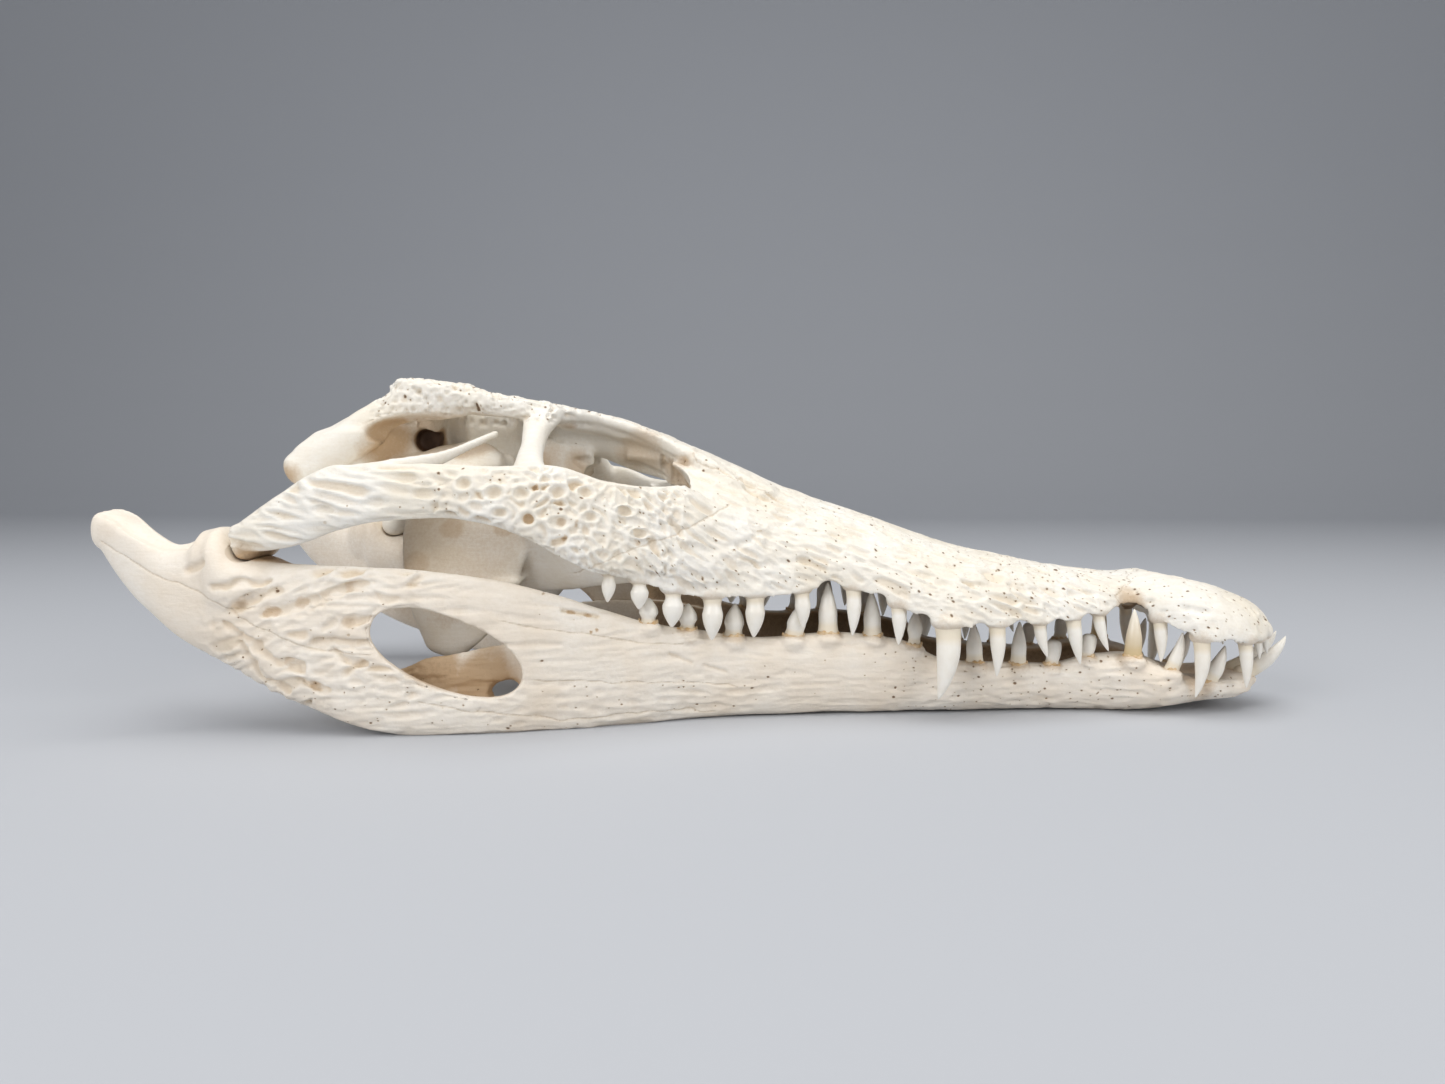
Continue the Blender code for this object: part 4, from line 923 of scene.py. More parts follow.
def carve(made, how):
    """Moves the mesh's points by the heights and keeps their marks, places and normals on the points."""
    points, normals = surface(made)
    height, marks, place = how(points, normals)
    moved = (points + normals * height[:, None]) * MM
    made.data.vertices.foreach_set("co", moved.astype(np.float32).ravel())
    made.data.update()
    stored(made, "marks", "FLOAT_COLOR", "color", marks)
    stored(made, "skin_place", "FLOAT_VECTOR", "vector", place)
    stored(made, "shade", "FLOAT_VECTOR", "vector", surface(made)[1])
    stored(made, "own_point", "FLOAT", "value", np.ones(len(points)))
    marked_as_wall(made, 0.0)


carve(snout, carve_cranium)


# The cranium, parted at its sutures
# The shell is cut into its bones: nose, snout, cheeks and the two halves of the rear. Each stays closed,
# and neighbours share the cut, so nothing shows but the suture.


def cross_cutter(which):
    """All that lies in front of a cross suture: a wall x(angle) ruled out from the axis, closed far off."""
    turn = np.radians(np.arange(0, 360, 1.5))
    heading = np.arctan2(np.sin(turn), np.abs(np.cos(turn)))
    wall = suture_x(which, heading, np.where(np.cos(turn) < 0, 0.0, 1.0))
    level = float(read_off(CROSS_SUTURES[which][0], TURN_HEIGHTS)[0])
    ends = ((wall, 0.4), (wall, 240), (np.full(len(turn), 260.0), 240))
    rings = [np.stack([x, out * np.cos(turn), level + out * np.sin(turn)], 1) for x, out in ends]
    return closed_tubes("in_front_of_" + which, [rings])


FILL_ROUNDS = 4


def fill_new_points(made):
    """Points that a cut has added take the mean of their neighbours' values, from the skin inwards."""
    mesh = made.data
    one, other = read(mesh.edges, "vertices", 2, np.int32).T
    own = read(mesh.attributes["own_point"].data, "value")
    fields = {"marks": ("color", 4), "skin_place": ("vector", 3), "shade": ("vector", 3)}
    kept = {name: read(mesh.attributes[name].data, *field) for name, field in fields.items()}

    def of_neighbours(values):
        there = np.bincount(one, values[other], len(own))
        return there + np.bincount(other, values[one], len(own))

    for _ in range(FILL_ROUNDS):
        weights = of_neighbours(own)
        new = (own < 0.5) & (weights > 0)
        for values in kept.values():
            for column in values.T:
                column[new] = of_neighbours(column * own)[new] / weights[new]
        own[new] = 1.0
    for name, (field, _) in fields.items():
        mesh.attributes[name].data.foreach_set(field, kept[name].ravel())
    mesh.attributes.remove(mesh.attributes["own_point"])


def shade_across_cuts(made):
    """Corner normals: the uncut skin's on the skin, so that no cut shows, and the face's own on a cut."""
    mesh = made.data
    sizes = read(mesh.polygons, "loop_total", kind=np.int32)
    corners = read(mesh.loops, "vertex_index", kind=np.int32)
    skin = read(mesh.attributes["shade"].data, "vector", 3)[corners]
    flat = np.repeat(read(mesh.polygons, "normal", 3), sizes, axis=0)
    length = np.linalg.norm(skin, axis=1, keepdims=True)
    facing = (skin * flat).sum(1, keepdims=True)
    on_cut = np.repeat(read(mesh.attributes["wall"].data, "value"), sizes) > 0.5
    use_flat = on_cut[:, None] | (length < 0.2) | (facing < -0.2)
    normals = np.where(use_flat, flat, skin / np.maximum(length, 1e-6))
    sharp = np.zeros(len(mesh.edges), bool)
    sharp[read(mesh.loops, "edge_index", kind=np.int32)[on_cut]] = True
    mesh.edges.foreach_set("use_edge_sharp", sharp)
    for name in ("wall", "shade"):
        mesh.attributes.remove(mesh.attributes[name])
    kept = mesh.attributes.new("custom_normal", "FLOAT_VECTOR", "CORNER")
    kept.data.foreach_set("vector", normals.astype(np.float32).ravel())


def part_off(whole, cutter, name):
    """Takes what lies inside the cutter off the whole as a new piece."""
    marked_as_wall(cutter, 1.0)
    piece = whole.copy()
    piece.data = whole.data.copy()
    piece.name = piece.data.name = name
    bpy.context.scene.collection.objects.link(piece)
    boolean(piece, "INTERSECT", cutter)
    boolean(whole, "DIFFERENCE", cutter)
    bpy.data.objects.remove(cutter)
    return piece


PLACE = Vector((0.0006, 0.0, -0.00035))
EASE = 0.0008


def eased_inwards(made):
    """Keeps the carving inside the model's sizes: within EASE of a side, e beyond goes to 1 - exp(-e)."""
    points = read(made.data.vertices, "co", 3).astype(float)
    for axis, sign, side in ((0, 1, 1), (0, -1, 0), (1, 1, 1), (1, -1, 0), (2, 1, 1)):
        start = sign * cad_box[side][axis] - EASE
        beyond = np.maximum(sign * points[:, axis] - start, 0) / EASE
        points[:, axis] -= sign * EASE * (beyond - 0.98 * (1 - np.exp(-beyond)))
    made.data.vertices.foreach_set("co", points.astype(np.float32).ravel())
    made.data.update()


def dress(made, finish, node):
    """Smooth faces, one finish, and the piece's place in the model."""
    made.data.transform(Matrix.Translation(PLACE))
    eased_inwards(made)
    made.data.polygons.foreach_set("use_smooth", np.ones(len(made.data.polygons), bool))
    made.data.materials.clear()
    made.data.materials.append(finish)
    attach(made, "root")
    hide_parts(node)


def box_rings(low, high):
    """The two ends of a closed box between two corners."""
    (x0, y0, z0), (x1, y1, z1) = low, high
    return [[(x, y, z) for y, z in ((y0, z0), (y1, z0), (y1, z1), (y0, z1))] for x in (x0, x1)]


CHEEK_CUT = [
    (9, 36, 130, 30, 76, 0), (-6, 40, 130, 30, 82, 0), (-20, 45.5, 130, 30, 86, 0),
    (-34, 51, 130, 30, 88, 0), (-46, 54, 130, 30, 89, 0), (-60, 57.5, 130, 30, 89.5, 0),
    (-80, 61, 130, 30, 90, 0), (-110, 65.5, 130, 30, 90, 0), (-130, 65.5, 130, 30, 90, 0),
    (-153, 62, 130, 30, 90, 0),
]
cranium_pieces = [part_off(snout, cross_cutter("nose"), "premaxillae")]
cranium_pieces.append(part_off(snout, cross_cutter("middle"), "snout_front"))
snout_rear = part_off(snout, cross_cutter("brow"), "snout_rear")
cheek_cut = upright_rings(CHEEK_CUT, 60, 0.15)
cranium_pieces.append(part_off(snout, closed_tubes("cheek_cut", [cheek_cut]), "cheek_arch_left"))
cranium_pieces.append(part_off(snout, closed_tubes("cheek_cut", [cheek_cut * MIRROR]), "cheek_arch_right"))
PALATE_TOP = 79.0
left_half = box_rings((-260, 0, -50), (260, 200, 250))
below = box_rings((-260, -200, -50), (260, 200, PALATE_TOP))
palate = part_off(snout, closed_tubes("below", [below]), "palate_right")
cranium_pieces += [part_off(palate, closed_tubes("left_half", [left_half]), "palate_left"), palate]
cranium_pieces.append(part_off(snout, closed_tubes("left_half", [left_half]), "skull_roof_left"))
snout.name = snout.data.name = "skull_roof_right"
cranium_pieces += [snout, snout_rear]


class Wire:
    """One output of a finish's node. Sums and products on it add Math nodes and give a new Wire."""

    def __init__(self, finish, socket):
        self.finish = finish
        self.socket = socket

    def maths(self, operation, first, second, clamp=False):
        return self.finish.node(
            "ShaderNodeMath", {"operation": operation, "use_clamp": clamp}, {0: first, 1: second},
        )

    def __add__(self, other):
        return self.maths("ADD", self, other)

    def __sub__(self, other):
        return self.maths("SUBTRACT", self, other)

    def __rsub__(self, other):
        return self.maths("SUBTRACT", other, self)

    def __mul__(self, other):
        return self.maths("MULTIPLY", self, other)

    __radd__ = __add__
    __rmul__ = __mul__

    def within(self, low, high):
        """0 at low, 1 at high, straight between."""
        return self.maths("MULTIPLY", self - low, 1 / (high - low), clamp=True)


class Finish:
    """A material on the Principled shader. node() adds any other node and gives its output as a Wire."""

    def __init__(self, name):
        self.material = bpy.data.materials.new(name)
        self.material.use_nodes = True
        self.tree = self.material.node_tree
        self.shader = self.tree.nodes["Principled BSDF"]

    def plug(self, socket, value):
        if isinstance(value, Wire):
            self.tree.links.new(value.socket, socket)
        else:
            socket.default_value = value

    def node(self, kind, settings=None, values=None, output=0):
        """A node of that kind: its settings, then its sockets' values or Wires."""
        made = self.tree.nodes.new(kind)
        for name, setting in (settings or {}).items():
            setattr(made, name, setting)
        for name, value in (values or {}).items():
            self.plug(made.inputs[name], value)
        return Wire(self, made.outputs[output])

    def mixed(self, amount, first, second):
        """The first colour, going over to the second as amount goes from 0 to 1."""
        first, second = ((*c, 1) if isinstance(c, tuple) else c for c in (first, second))
        return self.node("ShaderNodeMix", {"data_type": "RGBA"}, {0: amount, 6: first, 7: second}, output=2)

    def noise(self, place, size, detail=3.0, roughness=0.55):
        """Noise in 0..1 with lumps of about that many millimetres."""
        return self.node("ShaderNodeTexNoise", {}, {
            "Vector": place, "Scale": 1000.0 / size, "Detail": detail, "Roughness": roughness,
        })

    def stretched(self, place, turn, scale):
        return self.node("ShaderNodeMapping", {}, {"Vector": place, "Rotation": turn, "Scale": scale})

    def finished(self, sockets):
        for name, value in sockets.items():
            self.plug(self.shader.inputs[name], value)
        return self.material


def bone_finish(name, pale, warm):
    """Degreased bone: cream with warmer clouds, tan to brown where marked by stains and by painted shade in
    pits and recesses, fine pores with painted shade at their centres, and a grain.
    """
    bone = Finish(name)
    place = bone.node("ShaderNodeTexCoord", output=3)
    marks = bone.node("ShaderNodeAttribute", {"attribute_name": "marks"})
    unrolled = bone.node("ShaderNodeAttribute", {"attribute_name": "skin_place"}, output=1)
    stain_and_shade = Wire(bone, marks.socket.node.outputs["Alpha"])
    split = bone.node("ShaderNodeSeparateColor", {}, {0: marks})
    hollow, many, near_suture = (Wire(bone, split.socket.node.outputs[n]) for n in range(3))
    clouds = bone.noise(place, 22.0)
    speckle = bone.noise(place, 1.1, 5.0, 0.7)
    fibres = bone.noise(bone.stretched(place, (0, 0, 0), (0.07, 1, 1)), 0.9, 3.0)
    edge = speckle - 0.5

    # Pores: in each square of the unrolled skin a point, which is a hole if its lot falls under `many`.
    pore = 0.0
    for apart, least, most in ((4.4, 0.20, 0.42), (2.5, 0.10, 0.24)):
        cell = bone.node("ShaderNodeTexVoronoi", {"voronoi_dimensions": "2D"}, {
            "Vector": bone.stretched(unrolled, (0, 0, 0), (0.75, 1, 1)), "Scale": 1 / apart,
        })
        lots = bone.node("ShaderNodeSeparateColor", {}, {0: Wire(bone, cell.socket.node.outputs["Color"])})
        size = Wire(bone, lots.socket.node.outputs[1]) * (most - least) + least
        hole = (size - cell * apart + edge * 0.45).within(-0.12, 0.16)
        drawn = (many - lots).within(0.0, 0.03)
        pore = hole * drawn + pore
    suture = (near_suture + edge * 0.08).within(0.86, 0.97)

    colour = bone.mixed(clouds.within(0.35, 0.68), pale, warm)
    colour = bone.mixed((speckle - 0.5) * 0.5 + (fibres - 0.5) * 0.4 + 0.12, colour, (0.70, 0.60, 0.45))
    # Tan, then brown, with the depth of the carving: painted shade in the pits and furrows, with some brown
    # dirt.
    colour = bone.mixed((hollow + edge * 0.15).within(0.35, 1.7) * 0.62, colour, (0.72, 0.56, 0.36))
    colour = bone.mixed((hollow + edge * 0.4).within(1.35, 1.9) * 0.5, colour, (0.44, 0.28, 0.14))
    colour = bone.mixed(suture * 0.42, colour, (0.50, 0.37, 0.23))
    # Stains and painted shade from the marks' fourth value: tan, then near black where it is strongest.
    colour = bone.mixed((stain_and_shade + edge * 0.25).within(0.10, 0.55) * 0.85, colour, (0.52, 0.345, 0.18))
    colour = bone.mixed((stain_and_shade + edge * 0.3).within(0.62, 1.0) * 0.95, colour, (0.06, 0.025, 0.012))
    # Pores: tan round the rim, and a near-black centre that is painted shade inside each small hole.
    colour = bone.mixed(pore.within(0.0, 0.5) * 0.5, colour, (0.55, 0.38, 0.20))
    colour = bone.mixed(pore.within(0.5, 1.0) * 0.85, colour, (0.13, 0.06, 0.025))
    height = fibres * 0.4 + speckle * 0.55 - pore * 1.3 - suture * 0.5
    bump = bone.node("ShaderNodeBump", {}, {"Strength": 0.65, "Distance": 0.0004, "Height": height})
    roughness = clouds * 0.12 + hollow * 0.12 + 0.44
    return bone.finished({
        "Base Color": colour, "Roughness": roughness, "Specular IOR Level": 0.4, "Normal": bump,
    })


cranium_bone = bone_finish("cranium_bone", (0.93, 0.905, 0.85), (0.88, 0.82, 0.71))
for made in cranium_pieces:
    fill_new_points(made)
    shade_across_cuts(made)
    dress(made, cranium_bone, "cranium")


# The upper teeth
# Hollow cones of enamel on a paler root, one in each socket: long and curved at the nose, stout and
# necked like buds at the back. Each is rings round a bowed axis, set a little differently on each side.

SLIM = [
    (-0.45, 0.88), (-0.1, 0.98), (0.05, 1.0), (0.2, 0.94), (0.28, 0.93), (0.4, 0.90), (0.6, 0.72),
    (0.78, 0.49), (0.9, 0.28), (0.97, 0.14), (1, 0.03),
]
BUD = [
    (-0.45, 0.95), (-0.05, 1.0), (0.12, 0.90), (0.25, 0.76), (0.33, 0.84), (0.47, 1.06), (0.62, 0.98),
    (0.78, 0.70), (0.9, 0.40), (0.97, 0.2), (1, 0.05),
]
PEG = [
    (-0.45, 0.95), (-0.05, 1.0), (0.15, 0.9), (0.28, 0.84), (0.45, 0.94), (0.7, 0.98), (0.86, 0.92),
    (0.96, 0.68), (1, 0.35),
]
TOOTH_RINGS = 34
TOOTH_POINTS = 22


def tooth_rings(base, tip, half, bud, bow, root, blunt=False):
    """Rings from `root` below the base to the tip: centre on the line, pushed sideways by
    bow * 4 * t * (1 - t), radius from the slim or the bud profile, or between the two, or a worn peg's,
    a little flatter across the jaw. The root narrows to half."""
    base, tip, bow = np.asarray(base, float), np.asarray(tip, float), np.asarray(bow, float)
    length = np.linalg.norm(tip - base)
    body = np.linspace(-root / length, 0.9, TOOTH_RINGS - 6, endpoint=False)
    t = np.concatenate([body, [0.9, 0.93, 0.955, 0.975, 0.99, 1.0]])
    inside = np.clip(t, 0, 1)
    centre = base + (tip - base) * t[:, None] + bow * (4 * inside * (1 - inside))[:, None]
    shape = read_off(t, PEG) if blunt else read_off(t, SLIM) * (1 - bud) + read_off(t, BUD) * bud
    shape = shape * (1 + 0.5 * np.minimum(t, 0) * length / root)
    way = unit(np.gradient(centre, t, axis=0))
    side = unit(np.array([1.0, 0, 0]) - way * way[:, :1])
    other = np.cross(way, side)
    turn = 2 * math.pi * np.arange(TOOTH_POINTS) / TOOTH_POINTS
    along_jaw, across_jaw = np.cos(turn)[None, :, None], (0.88 * np.sin(turn))[None, :, None]
    around = side[:, None] * along_jaw + other[:, None] * across_jaw
    return centre[:, None] + around * (half * shape)[:, None, None], t


def bud_share(swell):
    """How much of the bud's profile a crown takes that swells so far beyond its neck."""
    return min(1.0, max(0.0, (swell - 1.02) / 0.2))


def toothed(name, teeth, finish, node):
    """All the teeth of one side in one mesh, with the place along the tooth and its age on the points."""
    made = closed_tubes(name, [rings for rings, _, _ in teeth])
    along = np.concatenate([np.repeat(t, TOOTH_POINTS) for _, t, _ in teeth])
    age = np.concatenate([np.full(len(t) * TOOTH_POINTS, old) for _, t, old in teeth])
    stored(made, "along", "FLOAT", "value", along)
    stored(made, "age", "FLOAT", "value", age)
    dress(made, finish, node)
    return made


def enamel_finish(name):
    """White enamel, glossy, faintly grooved along the tooth, over a duller cream root. Age yellows it."""
    enamel = Finish(name)
    place = enamel.node("ShaderNodeTexCoord", output=3)
    along = enamel.node("ShaderNodeAttribute", {"attribute_name": "along"}, output=2)
    age = enamel.node("ShaderNodeAttribute", {"attribute_name": "age"}, output=2)
    clouds = enamel.noise(place, 3.0)
    grooves = enamel.noise(enamel.stretched(place, (0, 0, 0), (1, 1, 0.08)), 0.7, 2.0)
    crown = (along + clouds * 0.06).within(0.24, 0.34)
    colour = enamel.mixed(crown, (0.88, 0.80, 0.66), (0.94, 0.91, 0.845))
    colour = enamel.mixed(clouds.within(0.4, 0.75) * 0.25, colour, (0.80, 0.72, 0.58))
    colour = enamel.mixed(age * (1.15 - along).within(0.0, 1.0), colour, (0.62, 0.44, 0.18))
    bump = enamel.node(
        "ShaderNodeBump", {}, {"Strength": 0.3, "Distance": 0.0002, "Height": grooves + crown * 0.5},
    )
    roughness = 0.50 - crown * 0.24 + grooves * 0.06
    return enamel.finished({
        "Base Color": colour, "Roughness": roughness, "Specular IOR Level": 0.5, "Normal": bump,
    })


tooth_enamel = enamel_finish("tooth_enamel")
for side, which in ((1, "left"), (-1, "right")):
    teeth = []
    for n, (x, lean, length, half, swell) in enumerate(UPPER_TEETH):
        long = length * (1 + 0.03 * side * math.sin(2.1 * n))
        _, y, z = margin_point(x, 3.8, -1.5)
        base, tip = (x, side * y, z), (x + lean, side * (y + 0.12 * long), z - long - 1.5)
        bow = (0.02 * long - 0.3 * lean * (swell < 1.1), side * 0.05 * long, 0)
        age = 0.06 + 0.05 * math.sin(5.0 * n + side)
        root = min(4.5, (SNOUT_TIP + 6 - x) / 3)
        teeth.append((*tooth_rings(base, tip, half, bud_share(swell), bow, root), age))
    toothed("upper_teeth_" + which, teeth, tooth_enamel, "cranium")


# The lower jaw
# Each half is the dentary in front, the surangular and angular behind it round the window, the splenial
# inside, and the cup and hook of the articular. Upright slices, blended as the cranium is.

DENTARY = [
    (187.5, -1.5, 8, 8, 12, 0), (184, -1.5, 14, 6, 12.8, 0), (178, -1.5, 17.6, 4.6, 13.2, 0.1),
    (168, -1.5, 20.4, 4, 12, 0.15), (158, -1.5, 22.6, 2.2, 14, 0.2), (149, -1.5, 24, 0.4, 19, 0.2),
    (141, -0.5, 24, 0, 20.6, 0.2), (131, 6, 22.2, 0.4, 20.6, 0.22), (114, 10, 23.2, 0.8, 17.4, 0.24),
    (96, 12.8, 26, 0.8, 18, 0.24), (79, 16, 29.2, 0.8, 19, 0.22), (62, 18.6, 31.4, 0.8, 26.5, 0.14),
    (39, 21.6, 34.8, 0.8, 29, 0.12), (15, 26, 39.2, 0.6, 27.6, 0.1), (-4, 31.6, 44.4, 0.4, 30.5, 0.1),
    (-23, 40.5, 52.4, 0, 34.6, 0.08), (-36, 46, 57.6, 0, 39.4, 0.06),
]
JAW_REAR = [
    (-20, 41, 51, 0, 33.6, 0.08), (-36, 47.5, 57.6, 0, 39.4, 0.06), (-50, 53, 62.8, 0, 44.8, 0.05),
    (-65, 58.2, 67.8, 0, 49.2, 0.04), (-80, 61.6, 71.2, 0, 51.8, 0.03), (-95, 63.4, 73.6, 0.2, 53.4, 0.02),
    (-110, 63.8, 74.8, 2.8, 54, 0), (-125, 62, 75, 8, 54.4, 0), (-138, 56, 74.6, 12.4, 54.6, 0),
    (-149, 51, 73.6, 17.8, 56, 0), (-157.5, 51.5, 72.4, 22, 65, 0), (-163, 53, 71.4, 25, 63, 0),
    (-172, 55.5, 70, 30.4, 60, 0), (-180, 56.8, 69, 37, 64, 0), (-187, 57.8, 68, 43.4, 70, 0),
    (-193, 58.4, 67, 50.6, 72, 0), (-197.5, 59, 66, 58, 70.8, 0),
]
INNER_PLATE = [
    (-10, 33, 37.5, 2, 28, 0), (-30, 41.3, 45.6, 2, 30, 0), (-55, 48.8, 52.8, 2, 29, 0),
    (-74, 52.4, 56.4, 2, 26.6, 0), (-84, 54, 58, 2, 24.4, 0), (-92, 55.2, 59.2, 2.6, 23.4, 0),
    (-100, 56.4, 60.6, 4, 20, 0), (-112, 58.4, 64.6, 6.4, 18, 0),
]
JAW_KEEL = [
    (0, 31, 40, 0.6, 7, 0), (-14, 34, 45, 0, 8, 0), (-45, 45, 58, 0, 8, 0), (-75, 53.5, 66.5, 0, 8, 0),
    (-100, 57, 70, 1, 10, 0), (-118, 58.5, 71, 5.4, 16, 0),
]
JOINT_CUP = [
    (-133.5, 54, 71, 37, 53.4, 0), (-138.5, 51, 73.6, 34.6, 54.8, 0), (-142, 48.5, 75, 34, 56, 0),
    (-150, 48, 75.4, 36, 58, 0), (-157, 49, 74, 36, 66, 0), (-159.5, 51, 72, 40, 65.4, 0),
]
# Front to back: x, lean of the tip in x, length seen, half width, swelling of the crown.
LOWER_TEETH = [
    (184, 15.5, 13, 3.0, 1.0), (167.5, 6.2, 12, 3.0, 1.0), (154.4, 4, 12.5, 2.5, 1.0),
    (141.6, 0.4, 16, 3.0, 1.0), (126.4, 1.2, 8, 2.6, 1.25), (114.6, 1.0, 8.2, 2.6, 1.3),
    (103, 0.4, 14, 2.8, 1.05), (88, -0.6, 14, 3.0, 1.05), (67, 0.5, 12, 2.5, 1.2),
    (53, -0.6, 15, 3.2, 1.05), (37.8, -0.2, 16.6, 3.5, 1.05), (26, 2.0, 10.5, 3.4, 1.1),
    (6, 0.6, 11, 3.4, 1.15), (-9, 0.4, 8.2, 3.0, 1.3), (-21.2, 0.2, 8, 3.0, 1.3),
]
SEAM_GAP = 0.3
FLOOR_FLAT = 0.35


def jaw_line(x):
    """Outer y and top z of the dentary at x."""
    xs = [row[0] for row in DENTARY]
    return smooth(x, xs, [(row[2] + row[5] * 8, row[4]) for row in DENTARY])[0]


def lower_base(n):
    """Left side (x, y, z) where lower tooth n leaves the jaw."""
    x = LOWER_TEETH[n][0]
    y, z = jaw_line(x)
    return x, (y - 4.6 if n else 4.2), z - 1


left_jaw = closed_tubes("left_jaw", [upright_rings(DENTARY, 110, 0.8)])
jaw_forms = [
    closed_tubes("surangular_angular", [upright_rings(JAW_REAR, 110, 0.8)]),
    closed_tubes("inner_plate", [upright_rings(INNER_PLATE, 50, 0.8)]),
    closed_tubes("jaw_keel", [upright_rings(JAW_KEEL, 50, 0.9)]),
    closed_tubes("joint_cup", [upright_rings(JOINT_CUP, 30, 0.8)]),
]
for n in range(1, len(LOWER_TEETH)):
    x, y, z = lower_base(n)
    half = LOWER_TEETH[n][3]
    socket = ball_rings((x, y + 0.6, z - 1.2), (half + 1.6, half + 1.2, 3.2), 16, 20)
    jaw_forms.append(closed_tubes(f"socket_{n}", [socket]))
# Grooves behind the window, each along (x, z) points, with half its height.
JAW_GROOVES = [
    ([(-148, 41.5), (-139, 45), (-133, 46.5)], 1.6), ([(-138, 40), (-131, 41), (-121, 44.5)], 1.8),
    ([(-154, 47.5), (-145, 49), (-137, 49.5)], 1.3), ([(-122, 30.5), (-113, 30), (-103, 30.3)], 1.2),
    ([(-151, 35.5), (-140, 28), (-134, 24), (-126, 22.5)], 1.5), ([(-147, 29), (-141, 20), (-132, 14)], 1.5),
    ([(-126, 18.5), (-119, 15.5)], 1.2), ([(-117, 27.5), (-106, 24)], 1.3), ([(-119, 46), (-105, 49)], 1.5),
    ([(-165, 52), (-158, 55.5)], 1.6), ([(-112, 37), (-104, 38.5)], 1.4),
]
JAW_GROOVE_DEPTH = 1.0


def jaw_face(x, z):
    """Outer y of the jaw behind its window: the bar's, or the cup's where that stands further out."""
    cup = outer_face(JOINT_CUP, x, z, 0.8) if -159 < x < -134 and z > 37 else 0.0
    return max(outer_face(JAW_REAR, x, z, 0.8), cup)


jaw_cuts = separate(
    "jaw_opening",
    [
        sweep_rings(
            [(-83.6, 60, 26.9, 24.8, 11.2), (-77.4, 91, 26.9, 24.8, 11.2)], (1, 0, -0.42), points=40,
            power=0.92, rounded=False,
        ),
        sweep_rings(
            [(-83.7, 58, 26.9, 27.5, 13.4), (-82, 66.4, 26.9, 27.5, 13.4)], (1, 0, -0.42), points=40,
            power=0.92, rounded=False,
        ),
        sweep_rings([(-64, 40, 13, 4.6, 3), (-70, 62, 12, 4.6, 3)], (1, 0, 0.3), rounded=False),
        sweep_rings(
            [
                (-201, 64.6, 73.2, 2.8, 2.4), (-192, 65.6, 72.4, 4.2, 4.6), (-183, 66.4, 67.6, 4.8, 5.0),
                (-174, 66.8, 63, 4.8, 4.4), (-166, 66, 61.4, 3.6, 3.0),
            ],
            (0, 1, 0),
        ),
        *[groove(points, jaw_face, height, JAW_GROOVE_DEPTH) for points, height in JAW_GROOVES],
    ],
)
combine(left_jaw, jaw_forms, "UNION")
combine(left_jaw, jaw_cuts, "DIFFERENCE")
reskin(left_jaw, SKIN, RELAXING)


def mirrored(made, name):
    """A copy with every y turned round and its faces turned to look outwards again."""
    points, _ = surface(made)
    mesh = made.data.copy()
    mesh.vertices.foreach_set("co", (points * (MM, -MM, MM)).astype(np.float32).ravel())
    mesh.flip_normals()
    mesh.update()
    mesh.name = name
    return linked(name, mesh)


# Seen from the side, as (x, z): sutures, and the short slits with half their height and their depth.
JAW_SLITS = [
    ([(-46.5, 39.6), (-36, 37.3)], 0.9, 1.3), ([(-14, 24), (-7, 20.5)], 0.8, 0.8),
    ([(-3, 19.5), (4, 17)], 0.7, 0.7), ([(14, 31), (20, 29.6)], 0.7, 0.7),
    ([(-128, 18.5), (-121, 15.5)], 1.0, 1.0),
]
JAW_SUTURES = [
    [(-196, 61), (-177, 51), (-158, 45), (-142, 36), (-128, 30), (-112, 27), (-104, 27)],
    [(-66, 37), (-58, 35), (-47, 33), (-35, 31), (-22, 28), (-10, 27)],
    [(-60, 18), (-47, 17), (-35, 16), (-23, 15), (-8, 14), (8, 12)],
    [(-90, 12), (-74, 8), (-59, 6), (-48, 4), (-35, 4), (-20, 5), (0, 3)],
]
# Brown stains, and painted shade at the jaw joint and on the inner plate seen through the window: x, y, z,
# radius, strength. The right side has the same.
JAW_STAINS_AND_SHADE = [
    (-147, 62, 54, 9, 0.8), (-138, 60, 55, 6, 0.5), (-90, 60, 20, 14, 0.62), (-74, 56, 16, 14, 0.6),
    (-66, 56, 12, 7, 0.8), (-146, 74, 43, 3, 0.34), (-136, 74, 40, 3.4, 0.42), (-126, 74, 43, 3, 0.34),
    (-131, 74, 24, 3, 0.3), (-123, 74, 16, 2.6, 0.4), (-116, 74, 11, 1.8, 0.95), (-111, 73, 48, 3, 0.36),
    (-44, 60, 39, 2.2, 0.5), (-39, 58, 38, 2, 0.5), (-36, 58, 33, 1.5, 1.0), (-38, 58.5, 32.4, 1.2, 1.0),
    (-84, 66, 32, 7, 0.35), (-30, 47, 39, 6, 0.35), (170, 4, 12, 12, 0.42), (142, 20, 19, 6, 0.4),
    (165, 18, 11, 8, 0.35),
]


